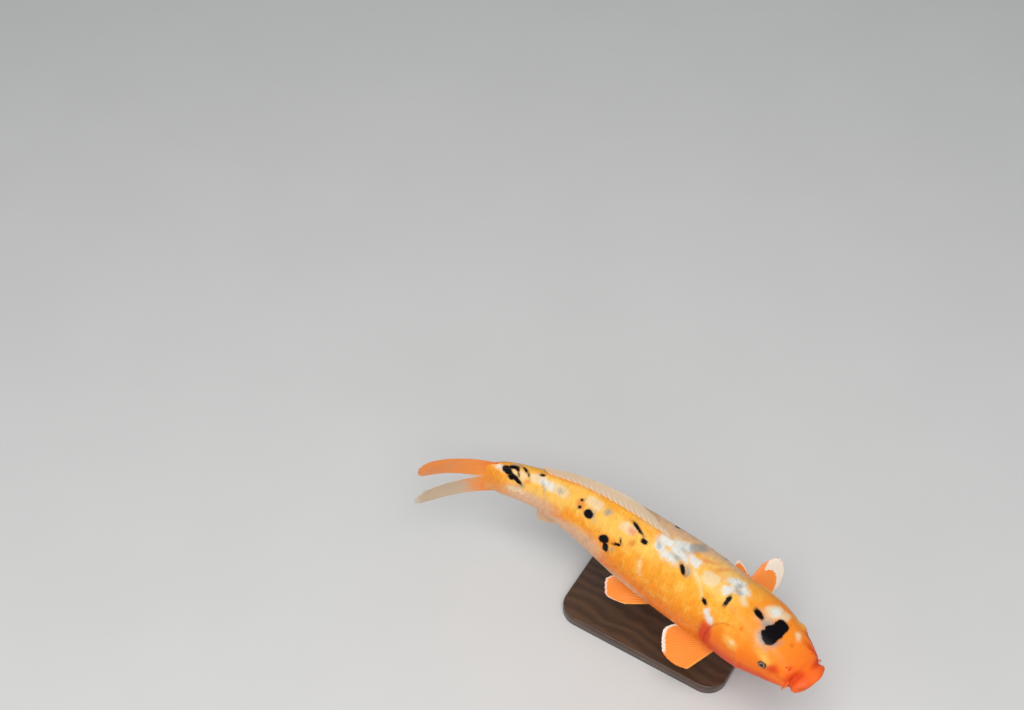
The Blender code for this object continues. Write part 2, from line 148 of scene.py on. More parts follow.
# %% The body's surface
def surface(share, turn):
    """Points of the body's surface."""
    share, turn = np.broadcast_arrays(np.asarray(share, float), np.asarray(turn, float))
    cosine = np.cos(np.radians(turn))
    sine = np.sin(np.radians(turn))
    upper = sine >= 0.0
    power = 2.0 / np.where(upper, curve(BACK_SQUARENESS, share), curve(BELLY_SQUARENESS, share))
    across = np.sign(cosine) * np.abs(cosine) ** power * curve(HALF_WIDTH, share)
    height = np.where(upper, curve(RISE, share), curve(DROP, share))
    above = np.sign(sine) * np.abs(sine) ** power * height
    return beside_axis(share, across * TOTAL_LENGTH, above * TOTAL_LENGTH)


def outward(share, turn):
    """Unit directions straight out of the body's surface."""
    share, turn = np.broadcast_arrays(np.asarray(share, float), np.asarray(turn, float))
    along = surface(share + 0.004, turn) - surface(np.maximum(share - 0.004, MOUTH_SHARE), turn)
    round_it = surface(share, turn + 3.0) - surface(share, turn - 3.0)
    normal = np.cross(along, round_it)
    return normal / np.linalg.norm(normal, axis=-1, keepdims=True)


def height_turn(turn):
    """How many degrees a turn lies above the body's widest line, on either side."""
    return np.degrees(np.arcsin(np.clip(np.sin(np.radians(turn)), -1.0, 1.0)))


# %% [markdown]
# ## A flat map of the body
# Markings and scales are laid out as a tailor would, on a flat map: millimetres back from the lips, and
# millimetres round the body from the line of the back, left counted as positive. The table below turns a
# girth into a turn, so that a spot or a scale keeps its size wherever it sits. Working in degrees instead
# would make everything shrink towards the tail.

# %% From the flat map to the body
MAP_SHARES = np.linspace(MOUTH_SHARE, TAIL_SHARE, 180)
MAP_PARTS = np.linspace(0.0, 1.0, 181)
PART_TURN = 2.0             # degrees from one column of the table of parts to the next
left_turns = np.linspace(90.0, -90.0, 721)
left_half = surface(MAP_SHARES[:, None], left_turns[None, :])
girth_steps = np.linalg.norm(np.diff(left_half, axis=1), axis=2)
girths = np.hstack([np.zeros((len(MAP_SHARES), 1)), np.cumsum(girth_steps, 1)]) / MM
HALF_GIRTH = girths[:, -1]
widest = np.argmin(np.abs(left_turns))
UPPER_GIRTH = girths[:, widest]
TURN_TABLE = np.array([np.interp(MAP_PARTS, row / row[-1], left_turns) for row in girths])
PART_TABLE = girths[:, ::round(PART_TURN * 720 / 180)] / HALF_GIRTH[:, None]


def half_girth(x):
    """Millimetres from the back's line to the belly's."""
    return np.interp(x * MM / TOTAL_LENGTH, MAP_SHARES, HALF_GIRTH)


def look_up(table, share, column):
    """Values of a table between its rows, one for each share of the map, and its columns."""
    row = (share - MAP_SHARES[0]) / (MAP_SHARES[1] - MAP_SHARES[0])
    row = np.clip(row, 0, table.shape[0] - 1.001)
    column = np.clip(column, 0, table.shape[1] - 1.001)
    i, j = row.astype(int), column.astype(int)
    s, t = row - i, column - j
    near = table[i, j] * (1 - t) + table[i, j + 1] * t
    far = table[i + 1, j] * (1 - t) + table[i + 1, j + 1] * t
    return near * (1 - s) + far * s


def from_map(x, y):
    """Share and turn of places on the flat map."""
    share = np.asarray(x, float) * MM / TOTAL_LENGTH
    part = y / half_girth(x)
    part = (part + 1.0) % 2.0 - 1.0
    turn = look_up(TURN_TABLE, share, np.abs(part) * (len(MAP_PARTS) - 1))
    return share, np.where(part < 0.0, 180.0 - turn, turn)


def to_map(share, turn):
    """Flat map places of shares and turns."""
    share, turn = np.broadcast_arrays(np.asarray(share, float), np.asarray(turn, float))
    left = np.cos(np.radians(turn)) >= 0.0
    x = share * TOTAL_LENGTH / MM
    y = look_up(PART_TABLE, share, (90.0 - height_turn(turn)) / PART_TURN) * half_girth(x)
    return x, np.where(left, y, -y)


print("half girth in mm: neck", half_girth(96.0).round(), "middle", half_girth(180.0).round(),
      "stem", half_girth(384.0).round())

# %% [markdown]
# ## Making meshes
# A surface that follows two directions is easiest as a grid of points with quads between them. One
# function adds a mesh from arrays of points and faces, smooths its shading, and stores any values that
# the finish will need on its points. It also measures the closed volume, whose sign tells whether the
# faces look outward.

# %% Meshes from arrays
ROOT = "root"


def volume(points, faces):
    """Volume inside closed faces with three or four corners."""
    a, b, c = (points[faces[:, k]] for k in range(3))
    total = np.einsum("ij,ij->i", a, np.cross(b, c)).sum()
    if faces.shape[1] == 4:
        d = points[faces[:, 3]]
        total += np.einsum("ij,ij->i", a, np.cross(c, d)).sum()
    return total / 6.0


def add_piece(name, points, quads, triangles=(), values=None, uv=None):
    """A named mesh over points, with values kept on its points and an optional unwrap."""
    quads = np.asarray(quads, int).reshape(-1, 4)
    triangles = np.asarray(triangles, int).reshape(-1, 3)
    size = volume(points, quads) + volume(points, triangles)
    if size < 0.0:
        quads, triangles = quads[:, ::-1], triangles[:, ::-1]
    mesh = bpy.data.meshes.new(name)
    mesh.from_pydata(points.tolist(), [], quads.tolist() + triangles.tolist())
    mesh.shade_smooth()
    for label, array in (values or {}).items():
        array = np.asarray(array, np.float32)
        kind, field = ("FLOAT_VECTOR", "vector") if array.ndim == 2 else ("FLOAT", "value")
        mesh.attributes.new(label, kind, "POINT").data.foreach_set(field, array.ravel())
    if uv is not None:
        corners = np.zeros(len(mesh.loops), np.int32)
        mesh.loops.foreach_get("vertex_index", corners)
        unwrap = mesh.uv_layers.new(name="OFBake")
        unwrap.data.foreach_set("uv", np.asarray(uv, np.float32)[corners].ravel())
    made = bpy.data.objects.new(name, mesh)
    bpy.context.scene.collection.objects.link(made)
    print(f"{name}: {2 * len(quads) + len(triangles)} triangles, {abs(size) * 1e6:.2f} cubic centimetres")
    return made


def grid_faces(rows, columns, closed):
    """Quads between rows of points, which join up at the ends where the rows are closed."""
    i, j = np.meshgrid(np.arange(rows - 1), np.arange(columns if closed else columns - 1), indexing="ij")
    k = (j + 1) % columns
    corners = (i * columns + j, i * columns + k, (i + 1) * columns + k, (i + 1) * columns + j)
    return np.stack(corners, -1).reshape(-1, 4)


def circle(count):
    """So many angles, evenly round a circle."""
    return np.arange(count) * 2.0 * math.pi / count


def end_fans(rings, sides):
    """Triangles that close both ends of a stack of rings, each round one more point."""
    j = np.arange(sides)
    k = (j + 1) % sides
    hub = rings * sides
    last = hub - sides
    return np.concatenate([np.stack([0 * j + hub, k, j], 1),
                           np.stack([0 * j + hub + 1, last + j, last + k], 1)])


def settle(piece, slot, finish, *nodes):
    """Fix a piece to the model, give it its finish, and hide the solids that it stands for."""
    piece.data.materials.append(finish)
    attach(piece, ROOT)
    if nodes:
        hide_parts(*nodes)
    return piece


# %% [markdown]
# ## Finishes as sums
# A finish is a graph of nodes, but its maths reads best as ordinary sums. The class below wraps one
# output of a node. Adding or multiplying such wires in Python adds the Math node that does it, so a
# formula such as 1 - mask * 0.5 can be written as it is. The second class holds one material, and its
# node method adds every other kind of node: settings first, since they can change which sockets there
# are, then the inputs.

# %% Wires and finishes
class Wire:
    """One output of a node, which can be used in sums like a number."""

    def __init__(self, finish, socket):
        self.finish = finish
        self.socket = socket

    def math(self, operation, *values):
        inputs = dict(enumerate(values))
        return self.finish.node("ShaderNodeMath", {"operation": operation}, inputs)[0]

    def __add__(self, other):
        return self.math("ADD", self, other)

    def __sub__(self, other):
        return self.math("SUBTRACT", self, other)

    def __rsub__(self, other):
        return self.math("SUBTRACT", other, self)

    def __mul__(self, other):
        return self.math("MULTIPLY", self, other)

    def __truediv__(self, other):
        return self.math("DIVIDE", self, other)

    def __pow__(self, other):
        return self.math("POWER", self, other)

    __radd__ = __add__
    __rmul__ = __mul__


class Finish:
    """A material with one Principled shader."""

    def __init__(self, name, **constants):
        self.material = bpy.data.materials.new(name)
        self.material.use_nodes = True
        self.tree = self.material.node_tree
        self.shader = self.tree.nodes["Principled BSDF"]
        for socket, value in constants.items():
            self.shader.inputs[socket.replace("_", " ")].default_value = value

    def feed(self, socket, value):
        """Link a wire to a socket, or set a plain value on it."""
        if isinstance(value, Wire):
            self.tree.links.new(value.socket, socket)
        elif isinstance(value, tuple) and len(value) == 3 and socket.type == "RGBA":
            socket.default_value = (*value, 1.0)
        else:
            socket.default_value = value

    def node(self, kind, settings=None, inputs=None):
        """Add a node: first its settings, then its inputs. All its outputs come back."""
        made = self.tree.nodes.new(kind)
        for setting, value in (settings or {}).items():
            if setting == "stops":
                stops = made.color_ramp.elements
                while len(stops) < len(value):
                    stops.new(0.5)
                for stop, (place, colour) in zip(stops, value):
                    stop.position = place
                    stop.color = (*colour, 1.0)
            else:
                setattr(made, setting, value)
        for socket, value in (inputs or {}).items():
            self.feed(made.inputs[socket], value)
        return [Wire(self, socket) for socket in made.outputs]

    def set(self, **inputs):
        """Give varying values to the shader."""
        for socket, value in inputs.items():
            self.feed(self.shader.inputs[socket.replace("_", " ")], value)

    def kept(self, label):
        """A number that was stored on the mesh's points."""
        return self.node("ShaderNodeAttribute", {"attribute_name": label})[2]

    def kept_vector(self, label):
        """A vector that was stored on the mesh's points."""
        return self.node("ShaderNodeAttribute", {"attribute_name": label})[1]

    def noise(self, place, scale, detail=2.0, roughness=0.5):
        """Soft noise from 0 to 1."""
        inputs = {"Vector": place, "Scale": scale, "Detail": detail, "Roughness": roughness}
        return self.node("ShaderNodeTexNoise", None, inputs)[0]

    def step(self, value, low, high):
        """0 below low, 1 above high, and soft between."""
        inputs = {"Value": value, "From Min": low, "From Max": high}
        return self.node("ShaderNodeMapRange", {"interpolation_type": "SMOOTHSTEP"}, inputs)[0]

    def blend(self, factor, first, second):
        """One colour where the factor is 0, the other where it is 1."""
        return self.node("ShaderNodeMix", {"data_type": "RGBA"}, {0: factor, 6: first, 7: second})[2]

    def stretch(self, place, amounts):
        """A place with each of its directions scaled."""
        return self.node("ShaderNodeVectorMath", {"operation": "MULTIPLY"}, {0: place, 1: amounts})[0]

    def bump(self, height, distance, strength=1.0):
        """A fine relief that only the light sees, its distance in metres."""
        inputs = {"Height": height, "Distance": distance, "Strength": strength}
        self.set(Normal=self.node("ShaderNodeBump", None, inputs)[0])


print("finishes are ready to be written as sums")

# %% [markdown]
# ## Markings
# A koi's colours lie in the skin and run on over the scales: a golden orange ground, white areas, black
# spots called sumi, and grey-blue where black lies deep. A painter would place them one by one, and so
# does this cell: each spot is an oval on the flat map, in millimetres, with its turn in degrees. For every
# point of skin or scale the deepest cover by any oval of a kind is kept as one number, positive inside.
# The finish then cuts that number at a wavering height, which makes ragged natural edges. Skin and scales
# both take their numbers from here, so the pattern never breaks between them.

# %% Where the markings are: middle back, middle left, half length, half width, turn
MARKINGS = {
    "black": (
        # the blotch on the head, then bars and specks behind it
        (56.0, 3.0, 8.5, 6.5, 90.0), (56.0, -11.0, 8.0, 7.0, -80.0), (56.0, -4.0, 7.0, 6.5, -55.0),
        (60.0, -6.0, 5.5, 5.0, -50.0), (62.0, -13.5, 3.5, 3.0, 45.0), (78.5, -2.5, 6.0, 3.0, 10.0),
        (108.0, -14.0, 5.5, 2.0, 85.0), (125.5, -29.5, 3.5, 2.0, 30.0),
        # the back and the right flank
        (161.0, -17.5, 5.5, 2.0, 40.0), (209.0, -16.0, 3.5, 2.5, -5.0), (223.0, -8.0, 8.0, 1.5, 20.0),
        (231.0, -29.0, 2.5, 1.0, 65.0), (233.5, -34.5, 4.0, 1.5, -25.0), (249.0, -37.5, 6.0, 4.5, -30.0),
        (244.5, -45.5, 5.5, 3.5, 85.0), (275.5, -21.5, 5.0, 4.5, 20.0), (288.0, -19.5, 2.0, 1.5, -30.0),
        (288.5, -11.5, 1.5, 1.0, -10.0), (341.5, -0.5, 2.5, 1.5, -10.0),
        # the open ring on the stem of the tail
        (379.0, -6.0, 6.0, 3.5, 35.0), (368.0, -13.0, 8.5, 2.5, 35.0), (373.5, -1.0, 6.0, 2.0, -10.0),
        (368.5, -2.5, 2.0, 1.5, 50.0), (366.0, -7.5, 3.0, 1.0, 70.0), (360.5, -0.5, 3.5, 1.5, 40.0),
        (356.0, -4.5, 3.0, 1.0, 60.0), (374.0, -12.5, 3.5, 2.5, 25.0),
        # the left side
        (142.0, 34.0, 3.5, 2.5, 20.0), (196.0, 27.0, 2.5, 3.5, 0.0), (238.0, 38.0, 3.0, 4.0, -10.0),
        (243.0, 33.0, 2.0, 1.5, 0.0), (304.0, 17.0, 3.0, 2.0, 25.0), (331.0, 26.0, 2.5, 3.0, 0.0),
        (92.0, 30.0, 1.5, 1.0, 0.0)),
    "white": (
        # the large patch ahead of the back fin
        (190.0, -3.0, 9.5, 5.0, -5.0), (173.0, -5.0, 12.5, 5.0, 10.0), (157.5, -3.5, 7.5, 4.5, 10.0),
        (190.0, -13.0, 8.5, 4.0, 25.0), (179.5, -14.5, 8.5, 4.0, 5.0), (175.0, 3.5, 10.0, 6.0, -15.0),
        # the nape, the head and the shoulder
        (114.0, -4.0, 6.0, 4.0, -50.0), (112.5, 7.5, 8.5, 5.0, -25.0), (103.0, 6.0, 6.0, 4.5, 40.0),
        (69.0, 12.0, 5.5, 4.5, -60.0),
        (115.5, -39.0, 6.0, 3.0, 45.0),
        # the flank and the stem
        (334.0, -7.5, 9.0, 3.5, 20.0), (328.0, -10.5, 4.0, 2.5, 10.0),
        (389.5, -3.0, 2.5, 1.5, 0.0), (365.0, -14.0, 2.0, 2.0, 40.0), (347.0, -54.0, 3.5, 2.0, 10.0),
        # the left side
        (204.0, 50.0, 14.0, 6.0, 20.0), (220.0, 55.0, 11.0, 6.0, -15.0), (230.0, 48.0, 7.0, 4.0, 30.0),
        (262.0, 46.0, 9.0, 5.0, 35.0), (276.0, 41.0, 9.0, 4.0, -20.0), (124.0, 61.0, 6.0, 5.0, 30.0),
        (133.0, 56.0, 5.0, 3.0, -30.0)),
    "cream": (
        (361.0, -7.5, 4.5, 3.5, 25.0), (371.5, -8.0, 3.5, 3.0, 60.0), (96.5, -3.5, 5.0, 3.5, 35.0),
        (40.5, 12.0, 3.5, 2.0, 45.0), (61.5, 15.0, 7.0, 4.5, 85.0), (133.5, -7.5, 8.5, 7.0, -5.0),
        (361.0, -26.5, 4.5, 2.5, 65.0), (371.0, -27.0, 5.0, 4.0, -15.0), (386.5, -5.0, 4.5, 3.0, 20.0),
        (316.0, -10.0, 11.0, 5.5, 15.0), (348.5, -7.0, 5.5, 4.0, 15.0), (230.5, -13.5, 9.0, 5.0, 0.0),
        (274.5, -8.5, 9.5, 5.0, 5.0), (201.5, -41.5, 5.0, 1.5, 75.0), (81.5, -43.5, 1.5, 1.5, 0.0),
        (69.5, 12.0, 9.0, 7.0, -60.0), (145.0, -15.5, 3.5, 1.0, 35.0), (135.5, -22.0, 2.5, 0.5, 45.0),
        # the left side
        (294.0, 42.0, 11.0, 5.0, 20.0), (310.0, 38.0, 10.0, 5.0, -15.0)),
    "grey": (
        # within and beside the large white patch
        (163.5, 12.5, 9.5, 6.5, -65.0), (168.5, 9.5, 3.5, 2.5, -85.0), (161.5, 21.5, 6.0, 2.5, 80.0),
        (171.0, -1.0, 2.5, 1.5, 50.0), (172.5, -11.5, 4.5, 1.5, 0.0), (194.5, -11.0, 3.0, 1.0, 40.0),
        (156.5, -16.0, 4.5, 2.5, 55.0), (106.0, 0.5, 2.5, 1.5, 0.0), (109.5, 6.0, 3.0, 2.0, -60.0),
        # round the blotch on the head
        (60.0, -17.5, 6.0, 3.5, 25.0), (48.5, -14.0, 6.0, 2.0, -65.0), (67.0, -4.5, 5.5, 3.5, -80.0),
        # the flank and the stem
        (270.5, -20.0, 5.0, 2.5, 50.0), (257.5, -10.5, 4.0, 3.5, 5.0), (335.5, -12.5, 3.5, 1.0, 65.0),
        (371.5, 1.5, 4.5, 3.0, -10.0), (361.0, -20.0, 3.5, 2.0, -25.0), (316.5, -11.0, 3.5, 2.0, 40.0),
        (237.0, -43.0, 3.5, 1.5, -45.0), (190.0, 30.0, 10.0, 3.0, 0.0)),
    "red": (
        # the corners of the mouth, the nostrils and the hollows ahead of the eyes, partly red and partly
        # painted shade in these folds and pits
        (16.5, -15.5, 11.0, 4.0, -70.0), (15.5, 15.0, 10.0, 2.5, 70.0), (36.0, -31.0, 7.0, 3.5, -55.0),
        (24.0, -14.0, 1.5, 1.0, -70.0), (24.0, 19.0, 9.0, 2.5, -30.0), (20.0, 21.5, 6.0, 2.5, 10.0),
        (34.0, 27.5, 11.0, 3.0, 25.0), (38.0, 27.0, 4.0, 4.0, 0.0),
        # faint specks on the brow and the neck
        (81.0, -25.5, 0.5, 0.5, 0.0), (38.0, 0.5, 0.5, 0.5, 0.0),
        # painted shade in the groove behind the gill covers
        (113.0, -62.0, 7.0, 16.0, 0.0), (113.0, 62.0, 7.0, 16.0, 0.0),
        # the back, the right flank and the stem
        (132.0, 8.0, 6.5, 1.5, -60.0), (146.5, 5.5, 5.0, 1.0, -30.0), (354.5, -12.5, 2.5, 2.0, -10.0),
        (288.0, -15.5, 5.0, 3.0, 25.0), (225.0, -14.0, 4.0, 3.0, 10.0), (219.5, -24.5, 3.5, 2.5, -40.0)),
    "beige": (
        # round the blotch on the head
        (61.0, -15.0, 6.0, 4.0, 60.0), (69.0, -1.0, 7.0, 5.0, 0.0),
        # the left shoulder, the flanks and the underside
        (150.0, 26.0, 34.0, 20.0, 10.0), (205.0, 24.0, 50.0, 20.0, 0.0),
        (262.0, 20.0, 26.0, 12.0, -10.0), (128.0, 10.0, 12.0, 7.0, 30.0),
        (362.0, -38.0, 46.0, 15.0, 0.0), (300.0, -66.0, 50.0, 22.0, 0.0),
        (236.0, -100.0, 50.0, 24.0, 0.0), (356.0, 38.0, 44.0, 15.0, 0.0),
        (300.0, 74.0, 50.0, 24.0, 0.0)),
    "gold": (
        # over the eyes, the gill covers and the neck
        (46.5, -29.5, 6.5, 3.0, 10.0), (46.5, 29.5, 6.5, 3.0, -10.0), (84.0, -45.0, 6.5, 5.0, 0.0),
        (90.0, 40.0, 10.0, 7.0, 20.0), (128.0, -10.0, 24.0, 9.0, 0.0), (128.0, 10.0, 20.0, 8.0, 0.0),
        # along the back
        (240.0, -18.0, 56.0, 12.0, 0.0), (320.0, -12.0, 46.0, 13.0, 0.0),
        (372.0, -10.0, 26.0, 10.0, 0.0)),
}
FIELD_REACH = 12.0          # beyond this many millimetres an oval no longer counts
SQUARENESS = 2.7            # 2 makes ovals, more makes their outlines squarer


def cover(kind, x, y):
    """How deep places lie inside the ovals of a kind, in millimetres, negative outside."""
    deepest = np.full(np.shape(x), -FIELD_REACH)
    for middle_x, middle_y, half_x, half_y, turn in MARKINGS[kind]:
        c, s = math.cos(math.radians(turn)), math.sin(math.radians(turn))
        along = (x - middle_x) * c + (y - middle_y) * s
        across = (y - middle_y) * c - (x - middle_x) * s
        powers = np.abs(along / half_x) ** SQUARENESS + np.abs(across / half_y) ** SQUARENESS
        distance = powers ** (1 / SQUARENESS)
        depth = (1.0 - distance) * np.minimum(half_x, half_y)
        deepest = np.maximum(deepest, depth)
    return deepest


def body_values(x, y):
    """All that the skin and the scales keep for their finish."""
    values = {kind: cover(kind, x, y) for kind in MARKINGS}
    values["belly"] = np.clip(np.abs(y) / half_girth(x), 0.0, 1.0)
    angle = math.pi * y / half_girth(x)
    round_radius = half_girth(x) / math.pi
    values["map"] = np.stack([x, np.cos(angle) * round_radius, np.sin(angle) * round_radius], -1)
    return values


print("ovals:", {kind: len(ovals) for kind, ovals in MARKINGS.items()})

# %% [markdown]
# ## The relief of the head
# A carp's head has no scales, so its bones shape what is seen: the gill cover stands proud behind the
# cheek and ends in a free edge, a ridge runs down in front of it, the eye sits in a firm ring, the
# nostril is a pair of pits with a flap between, and the lips are thick folds behind which the snout is
# creased. Sculpting by hand would also work, but here each form is a hump or a groove at a measured
# place, added up as millimetres out of the plain body. That keeps every one easy to move.

# %% Places on the head
GILL_SHARE, GILL_HALF_LENGTH = 0.178, 0.056
GILL_TURN, GILL_HALF_TURN = -10.0, 53.0
GILL_SWELL = 1.6            # all heights and widths of the relief are in millimetres
EYE_SHARE, EYE_TURN, EYE_RADIUS = 0.096, 22.0, 0.0056
BROW_TURN, LID_TURN = 13.0, 3.5     # the brow lies above the eye's middle, the opening below it
NOSTRILS = ((0.0480, 57.0), (0.0552, 55.0))
BROW = (0.098, 38.0)


def side_turn(turn, side):
    """The same height above the widest line, as a turn on the left (1) or on the right (-1)."""
    return turn if side > 0 else 180.0 - turn


def gill_reach(share, turn):
    """0 at the middle of the gill cover, 1 at its edge, and how far back it is from -1 to 1."""
    back = (share - GILL_SHARE) / GILL_HALF_LENGTH
    round_it = (height_turn(turn) - GILL_TURN) / GILL_HALF_TURN
    reach = np.hypot(back, round_it)
    return reach, back / np.maximum(reach, 1e-6)


def gill_relief(share, turn):
    """The swell and free edge of the gill cover, and the ridge down its front."""
    reach, rear = gill_reach(share, turn)
    behind = ease(rear, -0.25, 0.35)
    before = 1.0 - ease(rear, -0.1, 0.4)
    swell = GILL_SWELL * np.clip(1.0 - reach ** 2, 0.0, 1.0)
    edge = 0.75 * ease(reach, 0.80, 0.93) * (1.0 - ease(reach, 0.985, 1.035))
    groove = -1.0 * hump(reach, 1.055, 0.035)
    ridge = 0.55 * hump(reach, 0.60, 0.07) - 0.45 * hump(reach, 0.76, 0.05)
    seam = -0.35 * hump(reach, 0.30, 0.05) * ease(-rear, 0.2, 0.7)
    return swell + behind * (edge + groove) + before * ridge + seam


def distance_to(points, share, turn):
    """Millimetres from points to a place on the plain body."""
    return np.linalg.norm(points - surface(share, turn), axis=-1) / MM


def head_relief(share, turn, points):
    """Millimetres out of the plain body, for the rings round eyes and nostrils and the folds."""
    x, y = to_map(share, turn)
    above = height_turn(turn)
    total = gill_relief(share, turn)
    for side in (1, -1):
        far = distance_to(points, EYE_SHARE, side_turn(EYE_TURN, side))
        brow = distance_to(points, EYE_SHARE, side_turn(EYE_TURN + BROW_TURN, side))
        slit = distance_to(points, EYE_SHARE, side_turn(EYE_TURN - LID_TURN, side))
        total += 0.95 * hump(far, 5.6, 1.5) - 0.15 * hump(far, 8.8, 1.4)
        total -= 2.6 * (1.0 - ease(slit, 2.6, 4.5))
        total += 0.85 * hump(brow, 0.0, 3.2)
        total += 0.8 * hump(distance_to(points, BROW[0], side_turn(BROW[1], side)), 0.0, 4.2)
        for nostril_share, nostril_turn in NOSTRILS:
            far = distance_to(points, nostril_share, side_turn(nostril_turn, side))
            total += 0.14 * hump(far, 2.0, 1.0) - 1.5 * hump(far, 0.0, 0.95)
    lip_end = 16.2 + 1.2 * ease(-above, 0.0, 60.0) + 0.5 * np.sin(np.radians(above * 5.0))
    total += -(0.35 + 0.90 * (1.0 - ease(above, 30.0, 62.0))) * hump(x, lip_end + 1.0, 1.5)
    total += 0.35 * hump(x, lip_end + 4.2, 2.4)
    corner_line = 0.62 * (x - lip_end)
    low = above - 4.0 - corner_line
    cheek = ease(x, lip_end - 1.0, lip_end + 1.5) * (1.0 - ease(x, 29.0, 37.0))
    total += -0.7 * hump(low, 0.0, 4.5) * cheek
    total += -1.1 * hump(above, -2.0, 5.0) * (1.0 - ease(x, lip_end - 1.0, lip_end + 2.0))
    total += -0.45 * hump(above, -62.0, 6.0) * ease(x, 26.0, 36.0) * (1.0 - ease(x, 66.0, 84.0))
    total += 0.5 * hump(above, 70.0, 12.0) * ease(x, 26.0, 40.0) * (1.0 - ease(x, 56.0, 74.0))
    return total


def fin_base_relief(x, y):
    """The fleshy ridge that carries the fin along the back."""
    return 1.3 * hump(y, 0.0, 3.2) * ease(x, 180.0, 192.0) * (1.0 - ease(x, 322.0, 340.0))


# %% [markdown]
# ## The skin
# All the flesh is one closed skin: head, gill covers, trunk, stem and lips, so no seam can show. Its rings
# are close together on the head, where the folds are, and wider apart on the trunk, which scales will hide.
# At the front the rings roll over the lips and turn in, to a pocket of a mouth that stands a little
# open and is painted dark as shade, and at the back the stem thins to a wedge that holds the tail's rays.

# %% Rings of the skin
COLUMNS = 240
HEAD_STEP, TRUNK_STEP = 0.6, 2.4
MOUTH_X, NECK_X, TAIL_X = MOUTH_SHARE * LENGTH_MM, 116.0, TAIL_SHARE * LENGTH_MM
turns = np.arange(COLUMNS) * 360.0 / COLUMNS
head_rings = np.arange(MOUTH_X, NECK_X, HEAD_STEP)
trunk_rings = np.linspace(NECK_X, TAIL_X, round((TAIL_X - NECK_X) / TRUNK_STEP))
ring_shares = np.concatenate([head_rings, trunk_rings]) / LENGTH_MM
share_grid, turn_grid = np.meshgrid(ring_shares, turns, indexing="ij")
plain = surface(share_grid, turn_grid)
map_x, map_y = to_map(share_grid, turn_grid)
relief = head_relief(share_grid, turn_grid, plain) + fin_base_relief(map_x, map_y)
body_rings = plain + outward(share_grid, turn_grid) * (relief * MM - SKIN_DEPTH)[..., None]
print("rings on head and trunk:", len(head_rings), len(trunk_rings))

# %% Rings of the lips and the mouth: how far back, how wide, how high, against the mouth's own size
LIP_PROFILE = ((1.0, 1.0, 1.0), (0.75, 1.05, 1.01), (0.48, 1.10, 0.98), (0.24, 1.09, 0.89),
               (0.06, 1.00, 0.74), (0.0, 0.87, 0.56), (0.06, 0.73, 0.39), (0.26, 0.63, 0.24),
               (0.7, 0.57, 0.12), (1.6, 0.50, 0.07), (3.4, 0.28, 0.04))
OVERBITE = 3.4 * MM         # the lower lip lies this far behind the upper
LIP_RINGS = 44
places = np.linspace(0.0, len(LIP_PROFILE) - 1.0, LIP_RINGS + 1)[1:]
lip_back, lip_wide, lip_high = (curve(list(enumerate(column)), places) for column in zip(*LIP_PROFILE))
mouth_centre, mouth_back, _ = axis(MOUTH_SHARE)
lip_reach = MOUTH_SHARE - LIP_FRONT
offset = body_rings[0] - mouth_centre
sideways = offset - UP * offset[:, 2:3]
lip_rings = []
for back, wide, high, place in zip(lip_back, lip_wide, lip_high, places):
    short_of = max(1.0 - back, 0.0)
    front = axis(MOUTH_SHARE - lip_reach * short_of)[0]
    sag = 1.0 + 0.10 * hump(place, 4.5, 1.6) * (turns > 180.0)
    ring = front + sideways * wide + UP * offset[:, 2:3] * (high * sag)[:, None]
    set_back = OVERBITE * ease(place, 0.0, 3.0) * (0.5 - 0.5 * np.sin(np.radians(turns)))
    set_back = set_back + LIP_ROUNDING * TOTAL_LENGTH * short_of * np.cos(np.radians(turns)) ** 2
    set_back = set_back + max(back - 1.0, 0.0) * lip_reach * TOTAL_LENGTH
    ring = ring + mouth_back * set_back[:, None]
    lip_rings.append(ring)
lip_rings = np.array(lip_rings[::-1])
lip_spans = np.ptp(lip_rings[:, :, 1], axis=1) / MM
print("lips:", LIP_RINGS, "rings, from", lip_spans[0].round(1), "to", lip_spans.max().round(1), "mm across")

# %% Close the skin
POCKET_X = -20.0            # where the mouth's pocket ends on the flat map
all_rings = np.concatenate([lip_rings, body_rings])
ring_count = len(all_rings)
points = np.concatenate([all_rings.reshape(-1, 3), [all_rings[0].mean(0)], [all_rings[-1].mean(0)]])
lip_x = np.repeat(np.linspace(POCKET_X, MOUTH_X, LIP_RINGS, endpoint=False), COLUMNS)
lip_y = np.tile(map_y[0], LIP_RINGS)
x = np.concatenate([lip_x, map_x.ravel(), [POCKET_X, TAIL_X]])
y = np.concatenate([lip_y, map_y.ravel(), [0.0, 0.0]])
skin_values = body_values(np.maximum(x, MOUTH_X), y)
skin_values["map"][:, 0] = x
skin_values["inside"] = np.concatenate([np.repeat(places[::-1], COLUMNS), np.zeros(map_x.size), [9.0, 0.0]])
# how deep the relief sinks, kept for painted shade in its grooves
sunk = np.concatenate([np.zeros(len(lip_x)), -relief.ravel(), [0.0, 0.0]])
skin_values["hollow"] = np.clip(sunk, 0.0, 2.0)
along = np.clip((x - POCKET_X) / (TAIL_X - POCKET_X), 0.0, 1.0)
around = np.concatenate([np.tile(turns / 360.0, ring_count), [0.5, 0.5]])
skin = add_piece("skin", points, grid_faces(ring_count, COLUMNS, True), end_fans(ring_count, COLUMNS),
                 skin_values, np.stack([along, around], 1))
